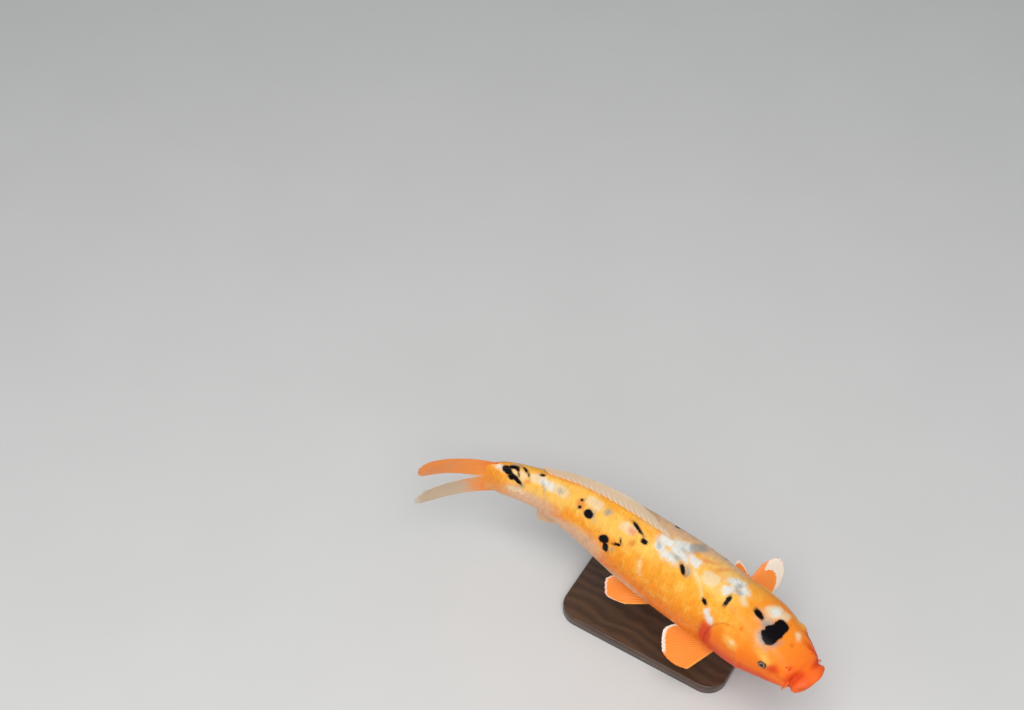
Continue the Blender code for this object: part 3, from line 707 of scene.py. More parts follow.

# %% [markdown]
# ## The finish of skin and scales
# Wet fish skin is colour seen through a clear slimy coat. So the colour comes from the markings, with
# painted shade on the lower flank, along the lower edge of the head and in its folds, and the gloss from a
# clear coat over a fairly smooth base. One function writes the colour for any material, and both skin and
# scales call it.
# Only the rims and the sheen of each scale are added for the coat: lighter rims and darker fronts, partly
# the koi's own scale net and partly painted light and shade.

# %% Colours of the koi
# the third colour on the next line is painted shade, for the lower flank and the lower part of the head
GOLD, ORANGE, PAINTED_SHADE_RED = (0.89, 0.39, 0.038), (0.90, 0.295, 0.014), (0.90, 0.165, 0.004)
# the third colour on the next line is painted shade deep in the mouth's pocket
HEAD_RED, LIP_RED, MOUTH_SHADE = (0.88, 0.255, 0.020), (0.93, 0.150, 0.014), (0.16, 0.012, 0.006)
CREAM, WHITE, BLUSH = (0.82, 0.62, 0.38), (0.72, 0.75, 0.72), (0.74, 0.48, 0.30)
# the third colour on the next line is a dark red, for the koi's red marks and for painted shade along the
# lower edge of the head and in its folds
PALE_GOLD, RUSSET, DARK_RED_AND_SHADE = (0.92, 0.54, 0.11), (0.88, 0.235, 0.010), (0.66, 0.035, 0.005)
SUMI, SLATE, UMBER = (0.003, 0.002, 0.003), (0.26, 0.30, 0.29), (0.15, 0.060, 0.050)
# the second colour on the next line is painted shade in the head's creases
FRECKLE, CREASE_SHADE_RED, LIP_ROLL = (0.22, 0.045, 0.02), (0.42, 0.045, 0.008), (0.93, 0.16, 0.03)
LINE_PORE = (0.35, 0.07, 0.015)


def koi_colour(finish):
    """The colour of skin with its markings and painted shade, the place and noises it used, and the gloss.
    """
    place = finish.kept_vector("map")
    x = finish.node("ShaderNodeSeparateXYZ", None, {0: place})[0]
    belly = finish.kept("belly")
    broad = finish.noise(place, 0.030, 3.0) - 0.5
    fine = finish.noise(place, 0.16, 4.0, 0.6) - 0.5
    tiny = finish.noise(place, 0.75, 3.0, 0.6) - 0.5
    flank = finish.step(belly + broad * 0.28, 0.14, 0.46)
    colour = finish.blend(flank, GOLD, ORANGE)
    mottle = finish.noise(place, 0.085, 3.0, 0.65)
    colour = finish.blend(finish.step(mottle, 0.50, 0.66) * 0.55, colour, PALE_GOLD)
    colour = finish.blend(finish.step(mottle, 0.46, 0.34) * 0.50, colour, RUSSET)
    # painted shade: the lower flank turns a darker red-orange towards the belly
    colour = finish.blend(finish.step(belly + fine * 0.16, 0.36, 0.62) * 0.75, colour, PAINTED_SHADE_RED)
    stem_end = finish.step(x + fine * 8.0, 368.0, 390.0)
    underside = finish.step(belly + broad * 0.24 + fine * 0.10, 0.70, 0.92)
    stem_side = finish.step(belly + fine * 0.12, 0.60, 0.84) * finish.step(x, 210.0, 330.0)
    colour = finish.blend(underside * 0.85, colour, CREAM)
    colour = finish.blend(stem_side * 0.75, colour, BLUSH)
    head = 1.0 - finish.step(x + broad * 30.0, 62.0, 108.0)
    colour = finish.blend(head * (1.0 - underside * 0.5), colour, HEAD_RED)
    # painted shade on the lower part of the head
    low_cheek_shade = finish.step(belly + fine * 0.12, 0.24, 0.46)
    low_cheek_shade = low_cheek_shade * (1.0 - finish.step(x + fine * 30.0, 104.0, 136.0))
    colour = finish.blend(low_cheek_shade * 0.85, colour, PAINTED_SHADE_RED)
    # painted shade: a dark red band along the lower edge of the head
    rim = finish.step(belly + fine * 0.08, 0.47, 0.60)
    rim = rim * (1.0 - finish.step(x + fine * 30.0, 104.0, 132.0))
    colour = finish.blend(rim * 0.80, colour, DARK_RED_AND_SHADE)
    muzzle = 1.0 - finish.step(x + fine * 8.0, 14.0, 46.0)
    colour = finish.blend(muzzle * 0.8, colour, LIP_RED)
    beige = finish.step(finish.kept("beige") + fine * 10.0 + broad * 12.0, -8.0, 7.0)
    colour = finish.blend(beige * 0.85, colour, BLUSH)
    yellow = finish.step(finish.kept("gold") + fine * 7.0, -5.0, 4.0)
    colour = finish.blend(yellow * 0.70, colour, PALE_GOLD)
    colour = finish.blend(stem_end * 0.75, colour, ORANGE)
    pale = finish.step(finish.kept("cream") + fine * 5.0 + tiny * 2.0, -2.4, 1.8)
    colour = finish.blend(pale * 0.80, colour, CREAM)
    # red marks, together with painted shade in the head's folds, pits and the grooves behind the gill
    # covers
    red = finish.step(finish.kept("red") + fine * 4.0, -3.0, 2.5)
    colour = finish.blend(red * (0.86 - finish.step(x, 118.0, 128.0) * 0.40), colour, DARK_RED_AND_SHADE)
    halo = finish.step(finish.kept("white") + fine * 9.0, -5.0, 2.0)
    colour = finish.blend(halo * 0.45, colour, CREAM)
    white = finish.step(finish.kept("white") + fine * 9.0 + tiny * 5.0, -2.4, 2.8)
    colour = finish.blend(white * 0.92, colour, WHITE)
    slate = finish.step(finish.kept("grey") + fine * 8.0 + tiny * 4.0, -2.6, 3.0)
    colour = finish.blend(slate * 0.76, colour, SLATE)
    blot = finish.kept("black") + fine * 2.6 + tiny * 1.6
    shade = finish.step(blot, -1.8, 0.2)
    colour = finish.blend(shade * 0.45, colour, UMBER)
    black = finish.step(blot, -0.6, 0.5)
    colour = finish.blend(black, colour, SUMI)
    speck = finish.step(finish.noise(place, 0.42, 1.0), 0.755, 0.775)
    colour = finish.blend(speck * (1.0 - black) * 0.55, colour, FRECKLE)
    gloss = 1.0 - black * 0.92
    return colour, place, fine, tiny, gloss


# %% Skin
skin_finish = Finish("wet koi skin", IOR=1.17, Coat_Roughness=0.16, Subsurface_Weight=0.08,
                     Subsurface_Radius=(0.004, 0.0016, 0.0008))
colour, place, fine, tiny, gloss = koi_colour(skin_finish)
lip_depth = skin_finish.kept("inside")
roll = skin_finish.step(lip_depth, 0.2, 1.6)
colour = skin_finish.blend(roll * 0.55, colour, LIP_ROLL)
# painted shade: deep in the mouth's pocket the skin turns nearly black
colour = skin_finish.blend(skin_finish.step(lip_depth, 5.6, 7.6), colour, MOUTH_SHADE)
# painted shade: the grooves of the head's relief, round the gill covers, lips, eyes and nostrils, turn dark
# red
crease_shade = skin_finish.step(skin_finish.kept("hollow") + fine * 0.2, 0.15, 1.5)
colour = skin_finish.blend(crease_shade * 0.55, colour, CREASE_SHADE_RED)
skin_finish.set(Base_Color=colour, Roughness=0.36 + fine * 0.16, Coat_Weight=gloss * 0.14)
pores = skin_finish.noise(place, 1.9, 2.0, 0.6) + skin_finish.noise(place, 0.55, 2.0) * 0.8
skin_finish.bump(pores, 0.00022, 0.55)
settle(skin, "skin", skin_finish.material, "head", "trunk_front", "trunk_rear", "tail_stem",
       "gill_cover_left", "gill_cover_right", "lip_upper", "lip_lower")
print("skin nodes:", len(skin_finish.tree.nodes))

# %% [markdown]
# ## Scales
# A carp has about 36 scales along its side and 12 rows from back to belly on each side. Neighbouring rows
# are set half a scale apart, and every scale's free edge lies over the ones behind it. Painting such a net
# as bump would look flat at the outline, so each scale is a thin closed plate. All of them come from one
# array: a disc of points, moved to each seat on the flat map, wrapped onto the body there, sunk at its
# front and raised at its rear. The left and the right side are one joined mesh each.

# %% Seats for the scales
ROW_PITCH = ((95.0, 9.6), (130.0, 10.4), (200.0, 10.8), (290.0, 9.4), (380.0, 7.4), (400.0, 6.4))
SCALE_STEP = ((95.0, 7.4), (150.0, 8.4), (230.0, 8.6), (380.0, 6.8), (400.0, 5.6))
FIRST_SCALE, LAST_SCALE = 101.0, 401.0
REAR_REACH, FRONT_REACH, HALF_HEIGHT = 0.68, 0.66, 0.70     # of the step, the step and the pitch


def scale_is_free(x, y, step, pitch, full):
    """Whether a scale at this seat clears the gill cover and the stem's thin edges."""
    share, turn = from_map(x - 0.72 * step, y)
    reach, _ = gill_reach(share, turn)
    if reach < 1.10 or x - 0.5 * step < 97.0:
        return False
    return x < 386.0 or 0.7 * pitch < abs(y) < full - 0.7 * pitch


seats = []
x = FIRST_SCALE
while x < LAST_SCALE:
    step = float(curve(SCALE_STEP, x))
    for half in (0, 1):
        at = x + half * step / 2
        pitch = float(curve(ROW_PITCH, at))
        full = float(half_girth(at))
        upper = float(np.interp(at * MM / TOTAL_LENGTH, MAP_SHARES, UPPER_GIRTH))
        places_here = [(side * (upper - row * pitch), row) for side in (1, -1) for row in range(-9, 10)
                       if (row + half) % 2 == 0
                       and 0.5 * pitch < upper - row * pitch < full - 0.5 * pitch]
        if half == 0:
            places_here += [(0.01, 99), (full - 0.01, -99)]
        for y, row in places_here:
            if scale_is_free(at, y, step, pitch, full):
                seats.append((at, y, step, pitch, row))
    x += step
seats = np.array(seats)
print("scales:", len(seats), "on the left:", int((seats[:, 1] > 0).sum()))

# %% One scale as a disc of points
SCALE_POINTS = 28
TOP_RINGS = (0.40, 0.74, 0.95, 1.0)
UNDER_RING = 0.99
disc = [(0.0, 0.0, 0.0)]
for ring in (*TOP_RINGS, UNDER_RING):
    disc += [(math.cos(a) * ring, math.sin(a) * ring, ring) for a in circle(SCALE_POINTS)]
disc = np.array(disc + [(0.0, 0.0, 0.0)])
under = np.zeros(len(disc), bool)
under[1 + len(TOP_RINGS) * SCALE_POINTS:] = True
j = np.arange(SCALE_POINTS)
k = (j + 1) % SCALE_POINTS
disc_quads = np.concatenate([np.stack([1 + r * SCALE_POINTS + j, 1 + (r + 1) * SCALE_POINTS + j,
                                       1 + (r + 1) * SCALE_POINTS + k, 1 + r * SCALE_POINTS + k], 1)
                             for r in range(len(TOP_RINGS))])
last_ring = 1 + len(TOP_RINGS) * SCALE_POINTS
disc_fans = np.concatenate([np.stack([0 * j, 1 + j, 1 + k], 1),
                            np.stack([0 * j + len(disc) - 1, last_ring + k, last_ring + j], 1)])
print("points in a scale:", len(disc), "triangles:", 2 * len(disc_quads) + len(disc_fans))

# %% Lay the scales on the body
SCALE_LIFT = (-0.30, 0.22)      # millimetres over the skin at the front and at the rear edge
SCALE_DOME = 0.06
SCALE_THICKNESS = 0.11
PATCH = 0.0015                  # half the width of a scale's place on the unwrap
scale_chance = np.random.default_rng(7)


def add_scales(name, seats):
    """One side's scales as one mesh."""
    count = len(seats)
    chance = scale_chance.uniform(-1.0, 1.0, (count, 4))
    at_x, at_y, step, pitch = (seats[:, c][:, None] for c in range(4))
    size = 1.0 + 0.05 * chance[:, :1]
    ahead = np.where(disc[:, 0] >= 0.0, REAR_REACH, FRONT_REACH)[None, :]
    rear = disc[None, :, 0]
    notch = 1.0 - 0.05 * np.cos(5.0 * np.arctan2(disc[:, 1], disc[:, 0]))[None, :] * (disc[:, 2] > 0.9)
    local_x = rear * ahead * step * size * notch
    local_y = disc[None, :, 1] * HALF_HEIGHT * pitch * size
    twist = 0.05 * chance[:, 1:2]
    x = at_x + local_x - local_y * twist
    y = at_y + local_y + local_x * twist
    share, turn = from_map(x, y)
    reach = (rear + 1.0) / 2.0
    lift = SCALE_LIFT[0] + (SCALE_LIFT[1] - SCALE_LIFT[0]) * reach ** 1.2
    lift = lift + SCALE_DOME * (1.0 - disc[None, :, 2] ** 2) + 0.05 * chance[:, 2:3] * reach
    lift = lift - SCALE_THICKNESS * under[None, :]
    base = surface(share, turn)
    height = head_relief(share, turn, base) + fin_base_relief(x, y) + lift
    points = base + outward(share, turn) * (height * MM - SKIN_DEPTH)[..., None]
    offsets = (np.arange(count) * len(disc))[:, None, None]
    quads = (disc_quads[None] + offsets).reshape(-1, 4)
    fans = (disc_fans[None] + offsets).reshape(-1, 3)
    values = {label: array.reshape(-1, 3) if array.ndim == 3 else array.ravel()
              for label, array in body_values(x, y).items()}
    seat = np.stack(np.broadcast_arrays(rear, disc[None, :, 1], chance[:, 3:4]), -1)
    values["seat"] = seat.reshape(-1, 3)
    values["line"] = np.broadcast_to(seats[:, 4:5] == 0, x.shape).astype(float).ravel()
    root_u = (at_x - 90.0) / 316.0 + rear * PATCH
    root_v = 0.02 + 0.96 * np.abs(at_y) / half_girth(at_x) + disc[None, :, 1] * PATCH
    uv = np.stack([root_u, root_v], -1).reshape(-1, 2)
    return add_piece(name, points.reshape(-1, 3), quads, fans, values, uv)


left_scales = add_scales("scales_left", seats[seats[:, 1] > 0])
right_scales = add_scales("scales_right", seats[seats[:, 1] <= 0])

# %% Finish of the scales
scale_finish = Finish("koi scales", IOR=1.17, Coat_Roughness=0.18, Subsurface_Weight=0.06,
                      Subsurface_Radius=(0.004, 0.0016, 0.0008))
colour, place, fine, tiny, gloss = koi_colour(scale_finish)
seat = scale_finish.node("ShaderNodeSeparateXYZ", None, {0: scale_finish.kept_vector("seat")})
to_rear, across, chance = seat
# painted light and shade on each scale: its rear rim lighter and its front and middle darker, partly the
# koi's own pale-edged net
from_centre = to_rear * to_rear + across * across
rim = scale_finish.step(from_centre + fine * 0.2, 0.70, 1.0) * scale_finish.step(to_rear, -0.1, 0.5)
centre = 1.0 - scale_finish.step(to_rear, 0.05, 0.55)
light = 1.0 + chance * 0.07 + rim * 0.16 - centre * 0.10
lighten = {"Vector": colour, "Scale": light}
shaded = scale_finish.node("ShaderNodeVectorMath", {"operation": "SCALE"}, lighten)[0]
pore = scale_finish.kept("line") * (1.0 - scale_finish.step(across * across * 40.0, 0.3, 1.0))
pore = pore * scale_finish.step(to_rear, 0.15, 0.3) * (1.0 - scale_finish.step(to_rear, 0.75, 0.9))
shaded = scale_finish.blend(pore * 0.20, shaded, LINE_PORE)
rings = scale_finish.node("ShaderNodeMath", {"operation": "SINE"}, {0: from_centre * 55.0})[0]
scale_finish.set(Base_Color=shaded, Roughness=0.34 + fine * 0.14 + rim * 0.08, Coat_Weight=gloss * 0.12)
scale_finish.bump(rings * 0.10 + tiny * 1.4, 0.00010, 0.5)
for coat in (left_scales, right_scales):
    settle(coat, "skin", scale_finish.material)
print("scale nodes:", len(scale_finish.tree.nodes))

# %% [markdown]
# ## Fins
# A fin is a fan of bony rays with a thin skin between them. The rays are stiff and single at the root,
# split in two halfway, and reach a little further than the skin between, so the edge is softly scalloped.
# A flat blade with painted stripes would miss that at the edge and in the light. Here each fin is a fine
# grid over its rays whose thickness swells along every ray, with a slow wave that grows outward.

# %% The sheets that the fins follow
LOBE_GAP = 0.0003           # between the tail lobes at the fork
FIN_ROOT = 0.0018
ROOT_DEPTH = 0.0020
ROOT_LEAN = 0.75
TAIL_ROOT, TAIL_FORK_ANGLE, TAIL_SPREAD, TAIL_TWIST = 0.804, 2.0, 17.0, 14.0
TAIL_RAYS = ((0.0, 0.062), (0.2, 0.125), (0.45, 0.184), (0.72, 0.200), (0.88, 0.198), (1.0, 0.178))
ROOT_FALL = 4.0


def middle_sheet(start, end, sweep, lean, lengths, side):
    """The fin along the back (side 1) or under the stem (side -1)."""
    sweep, lean = math.radians(sweep), math.radians(lean)

    def sheet(u, v):
        share = start + (end - start) * u
        reach = curve(lengths, u) * TOTAL_LENGTH * v
        root = curve(RISE if side > 0 else DROP, share) * TOTAL_LENGTH - ROOT_DEPTH
        out = reach * math.cos(sweep)
        bowed = lean * (ROOT_LEAN + (1.0 - ROOT_LEAN) * v)
        above = side * (root + out * np.cos(bowed))
        return beside_axis(share + reach * math.sin(sweep) / TOTAL_LENGTH, out * np.sin(bowed), above)

    return sheet


def tail_sheet(side):
    """The upper or the lower lobe of the tail, from the fork to the outer edge."""
    stem = float(curve(RISE if side > 0 else DROP, TAIL_ROOT)) * TOTAL_LENGTH

    def sheet(u, v):
        angle = np.radians(TAIL_FORK_ANGLE + (TAIL_SPREAD - TAIL_FORK_ANGLE) * u)
        reach = curve(TAIL_RAYS, u) * TOTAL_LENGTH * v
        share = TAIL_ROOT + reach * np.cos(angle) / TOTAL_LENGTH
        out = side * (LOBE_GAP + (stem - FIN_ROOT - LOBE_GAP) * u + reach * np.sin(angle))
        twist = math.radians(TAIL_TWIST) * (share - TAIL_ROOT) / (1.0 - TAIL_ROOT)
        return beside_axis(share, -out * np.sin(twist), out * np.cos(twist))

    return sheet


def paired_sheet(side, share, turn, root, lengths, pose):
    """A fin on one side of the body, held in a pose."""
    hang, first, last, tip, curl = (math.radians(value) for value in pose)
    _, back, left = axis(share)
    out = left * side * math.cos(hang) - UP * math.sin(hang)
    rearward = back * math.cos(tip) - UP * math.sin(tip)
    normal = np.cross(out, rearward)
    normal = normal / np.linalg.norm(normal) * side

    def sheet(u, v):
        root_share = share + root * (u - 0.5)
        root_turn = side_turn(turn - ROOT_FALL * u, side)
        start = surface(root_share, root_turn) - outward(root_share, root_turn) * ROOT_DEPTH
        angle = (first + (last - first) * u)[..., None]
        direction = out * np.cos(angle) + rearward * np.sin(angle)
        length = (curve(lengths, u) * TOTAL_LENGTH)[..., None]
        v = v[..., None]
        return start + (direction * v + normal * math.sin(curl) * v ** 2 / 2) * length

    return sheet


# %% A fin with rays over a sheet
POINTS_PER_RAY = 8


def add_fin(name, sheet, rays, steps, orange, pale, scallop=0.02, wave=0.6, seed=1):
    """A closed rayed fin. Orange and pale say how much of each colour lies at a place of the fin."""
    chance = np.random.default_rng(seed)
    columns = rays * POINTS_PER_RAY + 1
    u, v = np.meshgrid(np.linspace(0.0, 1.0, columns), np.linspace(0.0, 1.0, steps + 1), indexing="ij")
    ray = u * rays
    nearest = np.clip(ray.astype(int), 0, rays - 1)
    short = chance.uniform(0.0, 1.0, rays)[nearest]
    between = 0.5 + 0.5 * np.cos(2.0 * math.pi * ray)
    notch = scallop * (0.35 + between) * (0.5 + short)
    reach = v * (1.0 - notch * ease(v, 0.35, 1.0))
    points = sheet(u, reach)
    normal = np.cross(np.gradient(points, axis=0), np.gradient(points, axis=1))
    normal /= np.linalg.norm(normal, axis=-1, keepdims=True)
    single = (0.5 - 0.5 * np.cos(2.0 * math.pi * ray)) ** 2
    double = (0.5 - 0.5 * np.cos(4.0 * math.pi * ray)) ** 2
    split = ease(v, 0.40, 0.62)
    bulge = single * (1.0 - split) + double * split
    first_ray = hump(ray, 0.4, 0.5)
    bulge = np.maximum(bulge, first_ray)
    half = 0.17 - 0.06 * v + bulge * (0.42 - 0.26 * v) + 0.5 * (1.0 - ease(v, 0.0, 0.18))
    swing = wave * v ** 2 * np.sin(2.0 * math.pi * (1.3 * u + 0.7 * v) + seed)
    points = points + normal * (swing * MM)[..., None]
    both = np.concatenate([(points + normal * (half * MM)[..., None]).reshape(-1, 3),
                           (points - normal * (half * MM)[..., None]).reshape(-1, 3)])
    near = grid_faces(columns, steps + 1, False)
    count = columns * (steps + 1)
    grid = np.arange(count).reshape(columns, steps + 1)
    edge = np.concatenate([grid[:, 0], grid[-1, 1:], grid[-2::-1, -1], grid[0, -2:0:-1]])
    following = np.roll(edge, -1)
    rim = np.stack([edge, following, following + count, edge + count], 1)
    faces = np.concatenate([near[:, ::-1], near + count, rim])
    far = np.linalg.norm(points - points[:, :1], axis=-1) / MM
    values = {"along": v, "ray": ray, "bulge": bulge, "orange": orange(u, v, far), "pale": pale(u, v)}
    values = {label: np.tile(np.broadcast_to(array, u.shape).ravel(), 2) for label, array in values.items()}
    return add_piece(name, both, faces, (), values)


# %% Finish of the fins
FIN_SKIN_PALE, FIN_SKIN_ORANGE = (0.57, 0.41, 0.26), (0.90, 0.235, 0.018)
FIN_RAY_PALE, FIN_RAY_ORANGE = (0.67, 0.52, 0.37), (0.92, 0.335, 0.045)
# the first colour on the next line serves the red root of each fin, partly painted shade where the fin
# meets the body
FIN_ROOT_RED, FIN_WHITE, FIN_JOINT = (0.74, 0.085, 0.012), (0.82, 0.78, 0.68), (0.42, 0.10, 0.03)
fin_finish = Finish("koi fin", IOR=1.38, Coat_Weight=0.35, Coat_Roughness=0.15, Subsurface_Weight=0.15,
                    Subsurface_Radius=(0.003, 0.0012, 0.0007))
along, ray, bulge = (fin_finish.kept(label) for label in ("along", "ray", "bulge"))
strands = fin_finish.node("ShaderNodeCombineXYZ", None, {0: ray * 2.2, 1: along * 5.0, 2: 0.0})[0]
streak = fin_finish.noise(strands, 1.0, 4.0, 0.6) - 0.5
mottle = fin_finish.noise(fin_finish.node("ShaderNodeTexCoord")[3], 190.0, 3.0) - 0.5
orange_part = fin_finish.step(fin_finish.kept("orange") + streak * 0.55 + mottle * 0.25, 0.30, 0.72)
skin_between = fin_finish.blend(orange_part, FIN_SKIN_PALE, FIN_SKIN_ORANGE)
along_ray = fin_finish.blend(orange_part, FIN_RAY_PALE, FIN_RAY_ORANGE)
colour = fin_finish.blend(fin_finish.step(bulge + streak * 0.3, 0.15, 0.85), skin_between, along_ray)
# the root of each fin turns red, partly its own colour and partly painted shade where it meets the body
root_red_and_shade = (1.0 - fin_finish.step(along + streak * 0.10, 0.05, 0.30)) * orange_part
colour = fin_finish.blend(root_red_and_shade * 0.55, colour, FIN_ROOT_RED)
pale_part = fin_finish.step(fin_finish.kept("pale") + streak * 0.35, 0.35, 0.65)
colour = fin_finish.blend(pale_part * 0.9, colour, FIN_WHITE)
joints = fin_finish.node("ShaderNodeMath", {"operation": "SINE"}, {0: along * 260.0})[0]
joints = fin_finish.step(joints, 0.80, 1.0) * fin_finish.step(bulge, 0.4, 0.8)
joints = joints * fin_finish.step(along, 0.35, 0.6)
colour = fin_finish.blend(joints * 0.03, colour, FIN_JOINT)
fin_finish.set(Base_Color=colour, Roughness=0.40 + streak * 0.15)
fin_finish.bump(streak * 0.6, 0.00022, 0.5)
print("fin nodes:", len(fin_finish.tree.nodes))


# %% The fins in the middle line
def dorsal_orange(u, v, far):
    """Orange at the base, grey pink above."""
    return 0.9 - 0.7 * ease(far, 3.0, 9.0) + 0.15 * ease(u, 0.7, 1.0)


# A fin's lengths are pairs: a place from its front ray to its rear ray, and the ray's share of the fish.
DORSAL_RAYS = ((0.0, 0.028), (0.10, 0.053), (0.22, 0.060), (0.5, 0.052), (0.8, 0.043), (1.0, 0.036))
ANAL_RAYS = ((0.0, 0.045), (0.25, 0.074), (0.7, 0.056), (1.0, 0.036))
dorsal = middle_sheet(0.385, 0.690, 60.0, 74.0, DORSAL_RAYS, 1)
anal = middle_sheet(0.635, 0.692, 56.0, -14.0, ANAL_RAYS, -1)
settle(add_fin("fin_dorsal", dorsal, 21, 26, dorsal_orange, lambda u, v: 0.10 + 0.30 * v, 0.02, 0.6, 3),
       "fins", fin_finish.material, "dorsal_fin")
settle(add_fin("fin_anal", anal, 8, 28, lambda u, v, far: 0.72 - 0.35 * v,
               lambda u, v: 0.10 + 0.3 * ease(v, 0.6, 1.0), 0.03, 0.5, 4),
       "fins", fin_finish.material, "anal_fin")


def tail_upper_orange(u, v, far):
    """Orange with two pale bands."""
    return 0.95 - 0.30 * hump(far, 56.0, 11.0) - 0.28 * hump(far, 84.0, 9.0)


def tail_lower_orange(u, v, far):
    """Orange near the stem, then grey pink."""
    return 0.85 - 0.60 * ease(far, 4.0, 62.0)


settle(add_fin("fin_tail_upper", tail_sheet(1), 10, 60, tail_upper_orange,
               lambda u, v: 0.45 * ease(v, 0.93, 1.0), 0.02, 0.9, 5),
       "fins", fin_finish.material, "tail_fin_upper")
settle(add_fin("fin_tail_lower", tail_sheet(-1), 9, 60, tail_lower_orange,
               lambda u, v: 0.12 + 0.4 * ease(v, 0.85, 1.0), 0.02, 0.9, 6),
       "fins", fin_finish.material, "tail_fin_lower")

# %% The paired fins
PECTORAL_RIGHT = ((0.0, 0.076), (0.2, 0.095), (0.45, 0.108), (0.75, 0.105), (1.0, 0.074))
PECTORAL_LEFT = ((0.0, 0.098), (0.12, 0.132), (0.28, 0.152), (0.45, 0.130), (0.60, 0.088), (0.74, 0.108),
                 (0.88, 0.122), (1.0, 0.085))
PELVIC = ((0.0, 0.078), (0.25, 0.118), (0.55, 0.120), (1.0, 0.070))
# A pose is in degrees: how far the fin hangs, its first and last ray, the dip of its tip, and its curl.
POSES = {"pectoral_right": (36.0, 20.0, 86.0, 8.0, 10.0), "pectoral_left": (-15.0, -8.0, 41.0, 6.0, 6.0),
         "pelvic_right": (29.0, 54.0, 92.0, 0.0, 6.0), "pelvic_left": (38.0, 48.0, 78.0, 0.0, 6.0)}
sheets = {
    "pectoral_right": paired_sheet(-1, 0.226, -54.0, 0.026, PECTORAL_RIGHT, POSES["pectoral_right"]),
    "pectoral_left": paired_sheet(1, 0.231, -52.0, 0.026, PECTORAL_LEFT, POSES["pectoral_left"]),
    "pelvic_right": paired_sheet(-1, 0.386, -66.0, 0.024, PELVIC, POSES["pelvic_right"]),
    "pelvic_left": paired_sheet(1, 0.386, -66.0, 0.024, PELVIC, POSES["pelvic_left"]),
}


def pectoral_orange(u, v, far):
    """Orange all over."""
    return 1.0


def pelvic_orange(u, v, far):
    """Orange, a little weaker toward the edge."""
    return 0.95 - 0.1 * v


def pale_right(u, v):
    """A pale edge behind the first rays, and a pale outer part of the last ones."""
    return 0.72 * ease(v, 0.86, 0.97) * ease(u, 0.25, 0.50) + 0.6 * ease(u, 0.90, 1.0) * ease(v, 0.5, 0.8)


def pale_left(u, v):
    """A white tip on the first rays, and a pale edge on the last ones."""
    tip = 1.3 * ease(v, 0.76, 0.84) * (1.0 - ease(u, 0.36, 0.44))
    return tip + 0.9 * ease(v, 0.90, 0.97) * ease(u, 0.6, 0.7)


def pale_pelvic(u, v):
    """A pale edge."""
    return 0.62 * ease(v, 0.88, 1.0)


paired = {
    "pectoral_right": (15, 34, pectoral_orange, pale_right, 0.008, 0.9, 7),
    "pectoral_left": (16, 34, pectoral_orange, pale_left, 0.02, 0.5, 8),
    "pelvic_right": (9, 30, pelvic_orange, pale_pelvic, 0.010, 0.8, 9),
    "pelvic_left": (9, 30, pelvic_orange, pale_pelvic, 0.010, 0.8, 10),
}
for words, (rays, steps, orange, pale, scallop, wave, seed) in paired.items():
    kind, side_word = words.split("_")
    piece = add_fin("fin_" + words, sheets[words], rays, steps, orange, pale, scallop, wave, seed)
    settle(piece, "fins", fin_finish.material, f"{kind}_fin_{side_word}")

# %% [markdown]
# ## Eyes
# A carp's eye is a firm ball with a round black pupil, a thin gold ring close round it, and a bronze iris
# that darkens outward. Glass eyes for models are painted from behind and domed in front. Here the ball is
# turned like a bowl, ring by ring about the line of sight, with a slightly raised front, and the clear coat
# of its finish makes the cornea. Each point keeps its angle from the line of sight for the colours.

# %% Two eyeballs
EYE_RINGS, EYE_SIDES = 40, 56
BALL, CORNEA_RISE = 0.985, 0.05     # shares of the solid eye's radius
FLATNESS = 0.82             # along the line of sight, against the other ways
eye_angles = np.linspace(0.0, 180.0, EYE_RINGS + 1)[1:-1]
for word, side in (("left", 1), ("right", -1)):
    low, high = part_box("eye_" + word)
    centre = np.array((low + high) / 2)
    sight = outward(EYE_SHARE, side_turn(EYE_TURN, side))
    level = np.cross(sight, UP)
    level /= np.linalg.norm(level)
    rise = np.cross(level, sight)
    polar = np.radians(eye_angles)[:, None]
    spin = circle(EYE_SIDES)[None, :]
    radius = EYE_RADIUS * (BALL + CORNEA_RISE * hump(polar, 0.0, 0.55))
    around = level * np.cos(spin)[..., None] + rise * np.sin(spin)[..., None]
    ring = (sight * (radius * np.cos(polar) * FLATNESS)[..., None]
            + around * (radius * np.sin(polar))[..., None])
    front = centre + sight * EYE_RADIUS * (BALL + CORNEA_RISE) * FLATNESS
    rear = centre - sight * EYE_RADIUS * BALL * FLATNESS
    points = np.concatenate([(centre + ring).reshape(-1, 3), [front], [rear]])
    rows = len(eye_angles)
    fans = end_fans(rows, EYE_SIDES)[:, [0, 2, 1]]          # the rings run from the front to the rear
    faces = grid_faces(rows, EYE_SIDES, True)[:, ::-1]
    angle = np.concatenate([eye_angles.repeat(EYE_SIDES), [0.0, 180.0]])
    spin_all = np.concatenate([np.tile(spin[0], rows), [0.0, 0.0]])
    wheel = np.stack([np.cos(spin_all), np.sin(spin_all), angle / 60.0], 1)
    add_piece("eyeball_" + word, points, faces, fans, {"angle": angle, "wheel": wheel})

